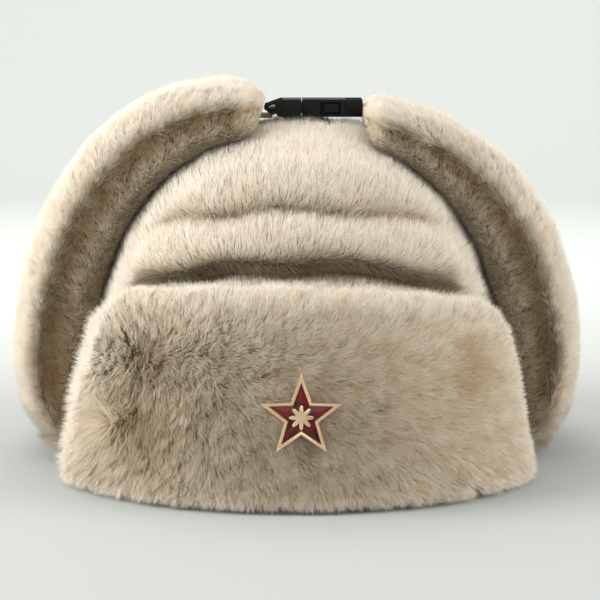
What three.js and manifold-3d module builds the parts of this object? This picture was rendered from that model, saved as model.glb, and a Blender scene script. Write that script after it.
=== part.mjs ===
// A winter hat in thick plush. Its ear flaps are folded up and buckled together over the crown, its
// front flap is folded up and carries a star badge, and a neck flap is folded up behind.
// Millimetres, +Z up. The hat stands on the plane z = 0 and its front flap faces -Y.

import * as THREE from "three";
import { mergeVertices } from "three/addons/utils/BufferGeometryUtils.js";
import Module from "manifold-3d";

const wasm = await Module();
wasm.setup();

// Head hollow and crown
const headBreadth = 172; // hollow at the rim, side to side
const headLength = 194; // hollow at the rim, front to back
const crownWall = 18; // padded wall with its pile
const crownHeight = 167; // floor to the top of the crown
const planPower = 2.15; // 2 is an ellipse seen from above, more is squarer
const domePower = 2.5; // the same, seen from the side
const crownHem = 8; // radius of the rolled hem
const rollDepth = 12; // scale of the crown's rolls and of the creases between them
const creaseDepth = 0.8; // how far a crease lies behind the smooth crown, as a share of that
const rollDroop = 0.13; // how much lower a roll runs at the sides, as a share of crownHeight
const lockDepth = 1.4; // relief of the locks of pile on every soft piece

// Front flap
const frontHeight = 101; // at its middle
const frontBottomWidth = 216;
const frontTopWidth = 188;
const frontShift = 3; // the middle of its top edge, off the middle
const frontThick = 27;
const frontCorner = 17; // radius of the outline's upper corners
const frontHeel = 20; // the same, of its lower corners
const frontSwell = 0.06; // how much fuller its middle is, as a share of its thickness
const frontFoot = 0.1; // how far its outer face stands out at the floor, the same
const frontSag = 10; // how much lower its top edge is at the corners
const frontTilt = 3; // how much one corner is higher than the middle, and the other lower

// Ear flaps
const earThick = 46; // at the fullest part
const earFrontAngle = 10; // degrees from the side to the front edge, at the hem
const earBackAngle = 35; // degrees from the side to the seam with the neck flap
const tipBreadth = 92; // front to back, at the tip
const earCleft = 0.34; // depth of the groove between the two layers, as a share of the half thickness
const earSlope = 1.7; // how much further the front edge is rounded over the outer face than under it

// Neck flap
const neckHeight = 124;
const neckRise = 14; // how much higher its ends are, where they join the ear flaps
const neckThick = 34;
const seamRound = 8; // rounding of the edges that meet at the two seams

// Badge
const badgeRadius = 19.2; // centre to tip
const badgeHollow = 0.41; // centre to the corners between the tips, as a share of that
const badgeHeight = 45; // its centre, above the floor
const badgeShift = 2; // its centre, off the middle
const badgeStandOff = 1; // between its back and the pile, at its centre
const badgePlate = 1.2;
const badgeRim = 1; // width of the gilt border
const badgeRimHeight = 1.3;
const enamelRise = 1.2; // how much thicker the enamel is at its centre
const badgePostRadius = 1;
const badgePostLength = 9;
const rosettePetals = 8;
const rosetteRadius = 5.6;
const rosetteThick = 0.9;

// Buckle and straps
const buckleWidth = 22; // along Y
const buckleThick = 8.6;
const buckleShift = 8; // its centre, off the middle
const buckleRest = 3; // its underside, above the top of the crown
const socketLength = 30;
const plugLength = 9.5;
const plugNeck = 9; // the open wedge behind the body of the plug
const plugBar = { radius: 1, along: 5, low: 1.4 }; // its bar, from the body and below the middle
const socketBar = { radius: 1.4, along: 1.8 }; // its bar, from the far end
const buckleWall = 1.5;
const strapWidth = 15;
const strapThick = 1; // one layer
const strapTuck = 10; // length of strap sewn into a flap

// Gaps
const layerGap = 0.7; // between a flap and the crown
const seamGap = 0.5; // between the neck flap and each ear flap
const fitGap = 0.3; // between hard pieces, and between a strap and its slit

const crownHalfBreadth = headBreadth / 2 + crownWall;
const crownHalfLength = headLength / 2 + crownWall;
const radians = THREE.MathUtils.degToRad;
const { clamp, lerp, smoothstep } = THREE.MathUtils;

// Thickness of the ear flaps. turn: from the hem (0) to the tip (1). left, right: share of earThick.
const earSections = [
  { turn: 0.0, left: 0.28, right: 0.28 },
  { turn: 0.04, left: 0.5, right: 0.5 },
  { turn: 0.1, left: 0.74, right: 0.72 },
  { turn: 0.2, left: 0.9, right: 0.88 },
  { turn: 0.35, left: 1.0, right: 0.98 },
  { turn: 0.52, left: 1.0, right: 0.98 },
  { turn: 0.66, left: 0.92, right: 0.86 },
  { turn: 0.8, left: 0.76, right: 0.64 },
  { turn: 0.92, left: 0.58, right: 0.46 },
  { turn: 1.0, left: 0.44, right: 0.38 },
];

// Rolls across the front of the crown. low and high: share of crownHeight. bulge: share of
// rollDepth in front of the smooth crown. below and above: share of creaseDepth in the creases
// under and over the roll. reach: share of the half breadth where a roll has ended.
const crownRolls = [
  { low: 0.48, high: 0.61, bulge: 0.0, below: 1, above: 1, reach: 0.86 },
  { low: 0.61, high: 0.77, bulge: 0.6, below: 1, above: 0.4, reach: 0.8 },
  { low: 0.77, high: 0.97, bulge: 0.35, below: 0.4, above: 0, reach: 0.82 },
];

// Shape of the crown

/** Distance from the axis to the rim of the crown, at an angle turned from the front. */
function planRadius(angle, inset = 0) {
  const across = Math.abs(Math.sin(angle)) / (crownHalfBreadth - inset);
  const along = Math.abs(Math.cos(angle)) / (crownHalfLength - inset);
  return (across ** planPower + along ** planPower) ** (-1 / planPower);
}

/** Distance from the axis to the crown's wall at a height. */
function wallRadius(angle, z) {
  const share = clamp(z / crownHeight, 0, 0.999);
  return planRadius(angle) * (1 - share ** domePower) ** (1 / domePower);
}

/** Distance from the middle of the rim to the crown, along a unit vector. */
function domeRadius(d) {
  const flat = Math.hypot(d.x, d.y);
  const plan = flat / planRadius(Math.atan2(d.x, -d.y));
  return (plan ** domePower + (d.z / crownHeight) ** domePower) ** (-1 / domePower);
}

/** How far the rolls and creases move the crown's wall outwards. */
function rollAt(angle, z) {
  const facing = smoothstep((Math.cos(angle) * wallRadius(angle, z)) / crownHalfLength, 0.41, 0.56);
  const x = Math.sin(angle) * wallRadius(angle, z);
  const side = Math.abs(x) / crownHalfBreadth;
  const level = z / crownHeight + rollDroop * side ** 2;
  for (const roll of crownRolls) {
    if (level < roll.low || level >= roll.high) continue;
    const s = (2 * (level - roll.low)) / (roll.high - roll.low) - 1;
    const round = Math.sqrt(1 - s * s);
    const fade = 1 - smoothstep(side, roll.reach * 0.82, roll.reach);
    const crease = creaseDepth * (s < 0 ? roll.below : roll.above) * (1 - round);
    return facing * fade * rollDepth * (roll.bulge * round - crease);
  }
  return 0;
}

/** The relief of the pile: locks that lie in staggered rows, at most lockDepth deep. */
function lock(station, row) {
  const [s, r] = [Math.abs(station), Math.abs(row)];
  const rising = (s + Math.floor(r / 2)) % 2;
  return -lockDepth * (rising ? 0.15 + 0.35 * (r % 2) : 1 - 0.3 * (r % 2));
}

// Meshes

/**
 * A closed body from rings of points, each clockwise about the way to the next ring.
 * An end is a single point, or is zipped shut across its ring.
 */
function loft(rings) {
  const position = [];
  const starts = rings.map((ring) => {
    const start = position.length / 3;
    ring.forEach((p) => position.push(p.x, p.y, p.z));
    return start;
  });
  const index = [];
  for (let i = 0; i + 1 < rings.length; i++) {
    const [a, b] = [starts[i], starts[i + 1]];
    const [m, n] = [rings[i].length, rings[i + 1].length];
    const count = Math.max(m, n);
    for (let j = 0; j < count; j++) {
      const k = (j + 1) % count;
      if (m > 1) index.push(a + j, b + (n > 1 ? k : 0), a + k);
      if (n > 1) index.push(a + (m > 1 ? j : 0), b + j, b + k);
    }
  }
  const zip = (start, n, first) => {
    const face = (...corners) => {
      index.push(...(first ? corners : corners.reverse()).map((corner) => start + corner));
    };
    for (let j = 0; j < n / 2; j++) {
      if (j > 0) face(j, n - j - 1, n - j);
      if (j + 1 < n / 2) face(j, j + 1, n - j - 1);
    }
  };
  if (rings[0].length > 1) zip(starts[0], rings[0].length, true);
  if (rings.at(-1).length > 1) zip(starts.at(-1), rings.at(-1).length, false);
  const geometry = new THREE.BufferGeometry();
  geometry.setAttribute("position", new THREE.Float32BufferAttribute(position, 3));
  return geometry.setIndex(index);
}

/**
 * A section of a padded flap, from the middle of its low edge round its outer face and back.
 * Over the outer face the low edge's rounding reaches further by a slope.
 */
function section({ half, thick, lowRound, highRound, cleft, slope = 1, steps = 8, turns = 3 }) {
  const edge = (a, round, reach) => {
    const split = round * cleft * Math.cos(a) * Math.exp(-((a / 0.5) ** 2));
    return half - reach * (1 - Math.cos(a)) - split;
  };
  const side = (reach) => {
    const turn = Array.from({ length: turns + 1 }, (_, i) => (i / turns) * (Math.PI / 2));
    const low = turn.map((a) => ({ s: -edge(a, lowRound, reach), t: 0.5 + 0.5 * Math.sin(a) }));
    const high = turn.map((a) => ({ s: edge(a, highRound, highRound), t: 0.5 + 0.5 * Math.sin(a) }));
    const face = Array.from({ length: steps - 1 }, (_, i) => ({
      s: lerp(reach - half, half - highRound, (i + 1) / steps),
      t: 1,
    }));
    return [...low, ...face, ...high.reverse()];
  };
  const inner = side(lowRound).slice(1, -1).reverse().map(({ s, t }) => ({ s, t: 1 - t }));
  const ring = [...side(lowRound * slope), ...inner];
  return ring.map(({ s, t }, row) => ({ s, t: t * thick, row, out: t > 0.9 }));
}

/** Shares from 0 to 1 with closer steps near both ends. */
function spread(count) {
  return Array.from({ length: count + 1 }, (_, i) => 0.5 - 0.5 * Math.cos((Math.PI * i) / count));
}

/** A value from one column of a table, at a share of the way along it. */
function fromTable(table, key, column, at) {
  const k = clamp(table.findIndex((row) => row[key] >= at), 1, table.length - 1);
  const [a, b] = [table[k - 1], table[k]];
  return lerp(a[column], b[column], clamp((at - a[key]) / (b[key] - a[key]), 0, 1));
}

// Solids for cutting and joining

function solidOf(geometry) {
  const bare = geometry.clone();
  bare.deleteAttribute("normal");
  bare.deleteAttribute("uv");
  const merged = mergeVertices(bare, 1e-4);
  return new wasm.Manifold(
    new wasm.Mesh({
      numProp: 3,
      vertProperties: merged.attributes.position.array,
      triVerts: new Uint32Array(merged.index.array),
    }),
  );
}

function geometryOf(solid) {
  const { vertProperties, triVerts } = solid.getMesh();
  const geometry = new THREE.BufferGeometry();
  geometry.setAttribute("position", new THREE.BufferAttribute(vertProperties, 3));
  return geometry.setIndex(new THREE.BufferAttribute(triVerts, 1));
}

/** A box from its size and the middle of it. */
function box(dx, dy, dz, x, y, z) {
  return solidOf(new THREE.BoxGeometry(dx, dy, dz).translate(x, y, z));
}

/** A flat outline, drawn in x and z, made solid along Y about the middle. */
function across(shape, width) {
  const geometry = new THREE.ExtrudeGeometry(shape, { depth: width, bevelEnabled: false, curveSegments: 8 });
  return solidOf(geometry.translate(0, 0, -width / 2).rotateX(Math.PI / 2));
}

// Materials

const plush = new THREE.MeshStandardMaterial({ color: 0xd8ceb8, roughness: 1, metalness: 0 });
const gilt = new THREE.MeshStandardMaterial({ color: 0xd9b07a, roughness: 0.3, metalness: 1 });
const enamel = new THREE.MeshStandardMaterial({ color: 0x6e1517, roughness: 0.2, metalness: 0 });
const acetal = new THREE.MeshStandardMaterial({ color: 0x1b1c1b, roughness: 0.45, metalness: 0 });
const tape = new THREE.MeshStandardMaterial({ color: 0x8c8068, roughness: 0.95, metalness: 0 });

// Crown: an open dome whose hem is rolled under, with rolls and creases across its front

function crownGeometry() {
  const columns = 52;
  const outerRows = 32;
  const innerRows = 9;
  const angles = Array.from({ length: columns }, (_, i) => {
    const t = (2 * Math.PI * i) / columns;
    return t - 0.3 * Math.sin(t); // closer columns at the front
  });
  const ring = (z, radiusAt) =>
    angles.map((a, j) => {
      const r = radiusAt(a, j);
      return new THREE.Vector3(Math.sin(a) * r, -Math.cos(a) * r, z);
    });
  const rings = [[new THREE.Vector3(0, 0, crownHeight)]];
  for (let i = 1; i < outerRows; i++) {
    const turn = (Math.PI / 2) * (1 - i / outerRows);
    const z = lerp(crownHem, crownHeight, Math.sin(turn) ** (2 / domePower));
    rings.push(ring(z, (a, j) => wallRadius(a, z) + rollAt(a, z) + lock(j, i)));
  }
  for (const turn of [0, 30, 60, 90].map(radians)) {
    const z = crownHem * (1 - Math.sin(turn));
    rings.push(ring(z, (a) => planRadius(a, crownHem * (1 - Math.cos(turn)))));
  }
  const innerHeight = crownHeight - crownWall;
  const lip = crownWall - crownHem * 0.5;
  rings.push(ring(0, (a) => planRadius(a, lip)));
  for (let i = innerRows; i > 0; i--) {
    const turn = (Math.PI / 2) * (1 - i / innerRows);
    const z = lerp(crownHem * 0.5, innerHeight, Math.sin(turn) ** (2 / domePower));
    const share = Math.cos(turn) ** (2 / domePower);
    rings.push(ring(z, (a) => planRadius(a, crownWall) * share));
  }
  rings.push([new THREE.Vector3(0, 0, innerHeight)]);
  return loft(rings);
}

// Front and neck flaps: padded bands that follow the crown's wall

/** A point beside the wall of the crown, at a distance outside it. */
function besideWall(angle, z, out) {
  const r = wallRadius(angle, z) + layerGap + out;
  return new THREE.Vector3(Math.sin(angle) * r, -Math.cos(angle) * r, z);
}

/** The angle from the front at which the front flap is so wide, kept clear of the ear flaps. */
function angleOfWidth(x) {
  const last = Math.PI / 2 - edgeSwing(earFrontAngle, 0) - (2 * seamGap) / crownHalfBreadth;
  let angle = 0.5;
  for (let i = 0; i < 30; i++) {
    angle = Math.asin(clamp(x / (planRadius(angle) + frontThick * 0.55), -1, 1));
  }
  return Math.min(angle, last);
}

/** How far the front flap's outer face stands off the crown, at a share of its half width. */
function frontFace(u, z) {
  const foot = frontFoot * (1 - smoothstep(z, -1, frontThick * 0.8));
  const swell = frontSwell * (1 - u * u) * Math.sin(clamp(z / frontHeight, 0, 1) * Math.PI);
  return frontThick * (1 + foot + swell);
}

function frontFlapGeometry() {
  const bottomAngle = angleOfWidth(frontBottomWidth / 2);
  const topAngle = angleOfWidth(frontTopWidth / 2);
  const turned = frontShift / planRadius(0);
  const endShare = frontThick / frontBottomWidth;
  const cut = (u, radius) => {
    const share = (2 * radius) / frontBottomWidth;
    const corner = clamp((Math.abs(u) - 1 + share) / share, 0, 0.97);
    return radius * (1 - Math.sqrt(1 - corner * corner));
  };
  const rings = spread(28).map((v, i) => {
    const u = 2 * v - 1;
    const end = clamp((Math.abs(u) - 1 + endShare) / endShare, 0, 0.95);
    const shrink = Math.sqrt(1 - end * end);
    const top = frontHeight - frontSag * u * u - frontTilt * u - cut(u, frontCorner);
    const bottom = cut(u, frontHeel);
    return section({
      half: (top - bottom) / 2,
      thick: shrink,
      lowRound: frontThick * 0.28,
      highRound: frontThick * 0.45,
      cleft: 0.12,
    }).map(({ s, t, row, out }) => {
      const z = (top + bottom) / 2 + s;
      const angle = u * lerp(bottomAngle, topAngle, z / frontHeight) + turned * (z / frontHeight);
      const depth = (t + (1 - shrink) / 2) * frontFace(u, z);
      return besideWall(angle, z, depth + (out ? lock(i, row) : 0));
    });
  });
  return loft(rings);
}

function neckFlapGeometry() {
  const reach = radians(90 - earBackAngle) - seamGap / (crownHalfBreadth + neckThick);
  const rings = spread(22).map((v, i) => {
    const u = 2 * v - 1;
    const end = clamp((Math.abs(u) - 0.93) / 0.07, 0, 0.97);
    const shrink = 0.45 + 0.55 * Math.sqrt(1 - end * end);
    const top = neckHeight + neckRise * u * u;
    return section({
      half: top / 2,
      thick: neckThick * shrink,
      lowRound: seamRound,
      highRound: neckThick * 0.5,
      cleft: 0.2,
    }).map(({ s, t, row, out }) => {
      const z = top / 2 + s;
      const foot = 0.45 * (1 - smoothstep(z, -1, neckThick));
      const depth = (t + 0.5 * neckThick * (1 - shrink)) * (1 - foot);
      return besideWall(Math.PI + u * reach, z, depth + (out ? lock(i, row) : 0));
    });
  });
  return loft(rings);
}

// Ear flaps: padded lobes that run from the hem, up the side and over the crown to the buckle

/** The unit vector at a turn up from the hem and a swing towards the back, on one side. */
function sideways(turn, swing, side) {
  const flat = Math.cos(swing);
  return new THREE.Vector3(side * Math.cos(turn) * flat, Math.sin(swing), Math.sin(turn) * flat);
}

/** How far the flap's edge swings from the side, kept wide enough at the tip. */
function edgeSwing(hemAngle, turn) {
  const plane = Math.atan(Math.tan(radians(hemAngle)) * Math.cos(turn));
  const tip = tipBreadth / 2 / crownHeight;
  return (plane ** 6 + tip ** 6) ** (1 / 6);
}

function earFlapGeometry(side, column, tipX) {
  const firstTurn = radians(1);
  const lastTurn = Math.atan2(crownHeight, Math.abs(tipX));
  const stations = 26;
  const rings = Array.from({ length: stations + 1 }, (_, i) => {
    const along = 1 - (1 - i / stations) ** 1.5;
    const turn = lerp(firstTurn, lastTurn, along);
    const round = clamp((along - 0.955) / 0.045, 0, 0.95);
    const shrink = Math.sqrt(1 - round * round);
    const full = earThick * fromTable(earSections, "turn", column, along);
    const thick = full * lerp(0.3, 1, shrink);
    const back = edgeSwing(earBackAngle, turn);
    const front = -edgeSwing(earFrontAngle, turn);
    const middle = (back + front) / 2;
    const radius = domeRadius(sideways(turn, middle, side)) + full / 2;
    const half = (radius * (back - front)) / 2 - full * 0.5 * (1 - shrink);
    const free = smoothstep(turn, radians(38), radians(55));
    const ring = section({
      half,
      thick,
      lowRound: full * 0.5,
      highRound: lerp(seamRound, full * 0.5, free),
      cleft: earCleft * smoothstep(along, 0.02, 0.2),
      slope: earSlope,
    }).map(({ s, t, row, out }) => {
      const d = sideways(turn, middle + s / radius, side);
      const relief = out ? lock(i, row) : 0;
      return d.multiplyScalar(domeRadius(d) + layerGap + t + relief + (full - thick) / 2);
    });
    return side > 0 ? ring.reverse() : ring;
  });
  return loft(rings);
}

// Badge: a gilt star with a raised border round faceted enamel, and a rosette standing out of it

/** The ten corners of a star whose border is moved in by a width. */
function starCorners(inset = 0) {
  const radius = badgeRadius - inset / Math.sin(Math.PI / 10);
  return Array.from({ length: 10 }, (_, i) => {
    const a = (Math.PI * i) / 5;
    const r = i % 2 ? badgeHollow * radius : radius;
    return new THREE.Vector2(r * Math.sin(a), r * Math.cos(a));
  });
}

/** An outline made solid between two heights. */
function plate(corners, low, high) {
  const settings = { depth: high - low, bevelEnabled: false };
  const geometry = new THREE.ExtrudeGeometry(new THREE.Shape(corners), settings);
  return solidOf(geometry.translate(0, 0, low));
}

/** An upright rod between two heights. */
function rod(radius, low, high, sides = 12) {
  const geometry = new THREE.CylinderGeometry(radius, radius, high - low, sides);
  return solidOf(geometry.rotateX(Math.PI / 2).translate(0, 0, (low + high) / 2));
}

const enamelEdge = badgePlate + badgeRimHeight * 0.7;
const rosetteZ = enamelEdge + enamelRise + fitGap;
const stemRadius = rosetteRadius * 0.25;

function badgeStarGeometry() {
  const petals = Array.from({ length: 6 * rosettePetals }, (_, i) => {
    const a = (Math.PI * i) / (3 * rosettePetals);
    const r = rosetteRadius * lerp(0.42, 1, (0.5 + 0.5 * Math.cos(rosettePetals * a)) ** 0.7);
    return new THREE.Vector2(r * Math.sin(a), r * Math.cos(a));
  });
  const border = plate(starCorners(), 0, badgePlate + badgeRimHeight);
  const recess = plate(starCorners(badgeRim), badgePlate, badgePlate + badgeRimHeight + 1);
  const stem = rod(stemRadius, badgePlate / 2, rosetteZ + rosetteThick / 2);
  const rosette = plate(petals, rosetteZ, rosetteZ + rosetteThick);
  const post = rod(badgePostRadius, -badgePostLength, badgePlate / 2);
  return geometryOf(border.subtract(recess).add(stem).add(rosette).add(post));
}

function badgeEnamelGeometry() {
  const at = (z) => starCorners(badgeRim + fitGap).map((c) => new THREE.Vector3(c.x, c.y, z));
  const foot = new THREE.Vector3(0, 0, badgePlate + fitGap);
  const peak = new THREE.Vector3(0, 0, enamelEdge + enamelRise);
  const facets = solidOf(loft([[foot], at(foot.z), at(enamelEdge), [peak]]));
  return geometryOf(facets.subtract(rod(stemRadius + fitGap, 0, rosetteZ + 1)));
}

/** How a badge drawn about the origin, facing +Z, comes to lie against the front flap. */
function badgePlace() {
  const face = (z) => besideWall(0, z, frontFace(0, z)).y;
  const step = badgeRadius / 2;
  const lean = Math.atan2(face(badgeHeight + step) - face(badgeHeight - step), 2 * step);
  const y = face(badgeHeight) - badgeStandOff;
  return new THREE.Matrix4()
    .makeTranslation(badgeShift, y, badgeHeight)
    .multiply(new THREE.Matrix4().makeRotationX(Math.PI / 2 - lean));
}

// Buckle: a side-release plug and socket along X, drawn with the joint between them at x = 0

/** A bar along Y. */
function barAlongY(radius, length, x, z) {
  return solidOf(new THREE.CylinderGeometry(radius, radius, length, 10).translate(x, 0, z));
}

/** The plug: its body, a collar, two arms and a guide towards +X, and an open wedge with its bar. */
function bucklePlugGeometry() {
  const half = buckleThick / 2;
  const reach = socketLength * 0.66;
  const inside = buckleThick - 2 * buckleWall - 2 * fitGap;
  const armWidth = 2.6;
  const armY = buckleWidth / 2 - buckleWall - fitGap - armWidth / 2;
  const wedge = new THREE.Shape();
  wedge.moveTo(0.5, -half).lineTo(0.5, half).lineTo(-1, half).lineTo(-plugNeck, 1.4);
  wedge.lineTo(-plugNeck, -0.4).lineTo(-plugBar.along - 1.4, -plugBar.low - 1);
  wedge.lineTo(-plugBar.along + 1.4, -plugBar.low - 1).lineTo(-1.6, -half).closePath();
  const eye = new THREE.Path();
  eye.moveTo(-plugNeck + 1.5, 0.3).lineTo(-plugBar.along, 1.7).lineTo(-plugBar.along + 1.3, 1.7);
  eye.lineTo(-plugBar.along + 1.3, -0.2).closePath();
  wedge.holes.push(eye);
  let plug = box(plugLength, buckleWidth, buckleThick, -plugLength / 2, 0, 0);
  for (const side of [-1, 1]) {
    const cheek = across(wedge, 2).translate(-plugLength, side * (buckleWidth / 2 - 1), 0);
    const arm = box(reach + 1, armWidth, inside, reach / 2 - 0.5, side * armY, 0);
    const prong = box(7, armWidth + 1, inside * 0.8, reach - 5, side * (armY + 0.9), 0);
    plug = plug.add(cheek).add(arm).add(prong);
  }
  const guide = box(reach * 0.6 + 1, 3, inside, reach * 0.3 - 0.5, 0, 0);
  const collar = box(3, buckleWidth - 2 * (buckleWall + fitGap), inside, 1, 0, 0);
  const bar = barAlongY(plugBar.radius, buckleWidth - 1, -plugLength - plugBar.along, -plugBar.low);
  return geometryOf(plug.add(guide).add(collar).add(bar));
}

/** The socket: a shell open towards -X, with windows in its sides and a bar at its far end. */
function buckleSocketGeometry() {
  const inside = buckleThick - 2 * buckleWall;
  const cavity = socketLength * 0.68;
  const end = socketLength - cavity - buckleWall;
  const shell = box(socketLength, buckleWidth, buckleThick, socketLength / 2, 0, 0);
  const hollow = box(cavity + 1, buckleWidth - 2 * buckleWall, inside, cavity / 2 - 0.5, 0, 0);
  const sideWindows = box(10.2, buckleWidth + 1, inside, socketLength * 0.66 - 5.6, 0, 0);
  const opening = box(end + 1, strapWidth + 1, buckleThick + 1, socketLength - end / 2 + 0.5, 0, 0);
  const bar = barAlongY(socketBar.radius, buckleWidth - 1, socketLength - socketBar.along, 0);
  const body = shell.subtract(hollow).subtract(sideWindows).subtract(opening);
  return geometryOf(body.add(bar).translate(fitGap, 0, 0));
}

// Straps: a folded tape looped round each bar, whose tail is sewn into the tip of a flap

/** A loop about a bar at the origin, with its tail towards +X, level or hanging below the bar. */
function strapGeometry(bar, reach, hanging) {
  const inner = bar.radius + fitGap;
  const outer = inner + strapThick;
  const eye = barAlongY(inner, strapWidth + 1, 0, 0);
  const tail = strapTail(bar, reach, hanging, 0);
  return geometryOf(barAlongY(outer, strapWidth, 0, 0).add(tail).subtract(eye));
}

/** The two sewn layers of a strap's tail, grown by a clearance. */
function strapTail(bar, reach, hanging, clearance) {
  const start = hanging ? 0 : bar.radius + fitGap;
  const z = hanging ? -(bar.radius + 2 * fitGap + strapThick) : 0;
  const high = 2 * strapThick + 2 * clearance;
  const length = reach - start + clearance;
  return box(length, strapWidth + 2 * clearance, high, start + length / 2, 0, z);
}

// Assembly

const hat = new THREE.Group();

function place(name, geometry, material) {
  const mesh = new THREE.Mesh(geometry, material);
  mesh.name = name;
  hat.add(mesh);
}

const buckleLength = plugNeck + plugLength + fitGap + socketLength;
const leftTip = buckleShift - buckleLength / 2 - 0.8;
const rightTip = buckleShift + buckleLength / 2 + 0.8;
const buckleZ = crownHeight + buckleRest + buckleThick / 2;
const joint = new THREE.Vector3(leftTip + 0.8 + plugNeck + plugLength, 0, buckleZ);
const plugBarX = joint.x - plugLength - plugBar.along;
const socketBarX = joint.x + fitGap + socketLength - socketBar.along;
const leftReach = plugBarX - leftTip + strapTuck;
const rightReach = rightTip - socketBarX + strapTuck;
const toPlugBar = new THREE.Matrix4()
  .makeTranslation(plugBarX, 0, joint.z - plugBar.low)
  .multiply(new THREE.Matrix4().makeScale(-1, -1, 1));
const toSocketBar = new THREE.Matrix4().makeTranslation(socketBarX, 0, joint.z);
const toBadge = badgePlace();

/** A soft flap with a slit or hole for what is fastened in it. */
function cutFor(geometry, cutter, matrix) {
  return geometryOf(solidOf(geometry).subtract(solidOf(geometryOf(cutter).applyMatrix4(matrix))));
}

const leftSlit = strapTail(plugBar, leftReach, true, fitGap);
const rightSlit = strapTail(socketBar, rightReach, false, fitGap);
const postHole = rod(badgePostRadius + fitGap, -badgePostLength - fitGap, 1);
const leftFlap = earFlapGeometry(-1, "left", leftTip);
const rightFlap = earFlapGeometry(1, "right", rightTip);

place("crown", crownGeometry(), plush);
place("front_flap", cutFor(frontFlapGeometry(), postHole, toBadge), plush);
place("neck_flap", neckFlapGeometry(), plush);
place("ear_flap_left", cutFor(leftFlap, leftSlit, toPlugBar), plush);
place("ear_flap_right", cutFor(rightFlap, rightSlit, toSocketBar), plush);
place("strap_left", strapGeometry(plugBar, leftReach, true).applyMatrix4(toPlugBar), tape);
place("strap_right", strapGeometry(socketBar, rightReach, false).applyMatrix4(toSocketBar), tape);
place("buckle_plug", bucklePlugGeometry().translate(joint.x, 0, joint.z), acetal);
place("buckle_socket", buckleSocketGeometry().translate(joint.x, 0, joint.z), acetal);
place("badge_star", badgeStarGeometry().applyMatrix4(toBadge), gilt);
place("badge_enamel", badgeEnamelGeometry().applyMatrix4(toBadge), enamel);

export default hat;
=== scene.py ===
"""A cream plush winter hat with its flaps folded up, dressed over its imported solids.

Every soft piece is a backing surface, worked out as a function of two parameters, with a pile of
tapered blades that is grown from it. The buckle, the straps and the badge keep the forms of the
solids. Shapes are worked out in millimetres and turned to metres when they become meshes.
"""

import logging
import math
from dataclasses import dataclass, field
from enum import Enum

import bmesh
import bpy
import numpy as np
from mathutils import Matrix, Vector


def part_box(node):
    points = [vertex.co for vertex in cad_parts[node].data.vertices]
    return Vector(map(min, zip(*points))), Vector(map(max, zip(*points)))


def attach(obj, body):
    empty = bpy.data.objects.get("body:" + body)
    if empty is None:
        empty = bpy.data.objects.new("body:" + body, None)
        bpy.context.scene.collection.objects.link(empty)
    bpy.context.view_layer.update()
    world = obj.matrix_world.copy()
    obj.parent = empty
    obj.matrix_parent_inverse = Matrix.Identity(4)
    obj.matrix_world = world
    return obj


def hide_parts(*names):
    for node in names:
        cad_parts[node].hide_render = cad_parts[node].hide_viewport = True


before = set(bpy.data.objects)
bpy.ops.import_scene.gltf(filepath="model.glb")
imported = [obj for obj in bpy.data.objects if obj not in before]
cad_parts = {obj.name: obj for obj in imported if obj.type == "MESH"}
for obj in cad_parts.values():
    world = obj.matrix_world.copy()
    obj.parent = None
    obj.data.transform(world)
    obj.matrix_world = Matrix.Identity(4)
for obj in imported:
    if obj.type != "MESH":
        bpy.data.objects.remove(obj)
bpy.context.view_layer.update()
MM = 0.001
BODY = "root"
log = logging.getLogger("winter_hat")


class Side(Enum):
    """A side of the hat, by the sign of X there."""

    LEFT = -1
    RIGHT = 1


# Numbers


def smooth(x: np.ndarray, low: float, high: float) -> np.ndarray:
    """Rise from 0 at low to 1 at high with level ends.

    Args:
        x: Values along the rise.
        low: Where it starts.
        high: Where it ends.

    Returns:
        3s^2 - 2s^3 of each value's share s of the way, held between 0 and 1.
    """
    s = np.clip((x - low) / (high - low), 0.0, 1.0)
    return s * s * (3.0 - 2.0 * s)


def blend(a: np.ndarray, b: np.ndarray, share: np.ndarray) -> np.ndarray:
    """Go from a to b by a share of the way."""
    return a + (b - a) * share


def unit(v: np.ndarray) -> np.ndarray:
    """Scale vectors along the last axis to length 1."""
    return v / np.maximum(np.linalg.norm(v, axis=-1, keepdims=True), 1e-9)


def across(v: np.ndarray, n: np.ndarray) -> np.ndarray:
    """Take from v its part along the unit vectors n, and scale what is left to length 1."""
    return unit(v - n * np.sum(v * n, axis=-1, keepdims=True))


def hashed(cells: np.ndarray, salt: float) -> np.ndarray:
    """Give whole-number cells repeatable values.

    Args:
        cells: Whole numbers, with x, y and z along the last axis.
        salt: Tells one set of values from another.

    Returns:
        The fraction of 43758.5 sin(12.9 x + 78.2 y + 37.7 z + salt), from 0 to 1.
    """
    s = np.sin(cells @ np.array([12.9898, 78.233, 37.719]) + salt) * 43758.5453
    return s - np.floor(s)


def ripple(points: np.ndarray, length: float, seed: int) -> np.ndarray:
    """Soft unevenness: the mean of five sine waves that run in seeded directions.

    Args:
        points: Places in mm, with x, y and z along the last axis.
        length: Mean wave length in mm.
        seed: Seed of the directions and phases.

    Returns:
        Values of about -1 to 1.
    """
    rng = np.random.default_rng(seed)
    ways = unit(rng.normal(size=(5, 3))) * rng.uniform(0.7, 1.5, (5, 1)) * 2 * math.pi / length
    phases = rng.uniform(0, 2 * math.pi, 5)
    return np.sin(points @ ways.T + phases).sum(axis=-1) / 2.6


# Meshes


def new_object(name: str, mesh: bpy.types.Mesh) -> bpy.types.Object:
    """Put a mesh into the scene as an object at the origin.

    Args:
        name: The object's name.
        mesh: Its mesh.

    Returns:
        The object.
    """
    piece = bpy.data.objects.new(name, mesh)
    bpy.context.scene.collection.objects.link(piece)
    return piece


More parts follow.
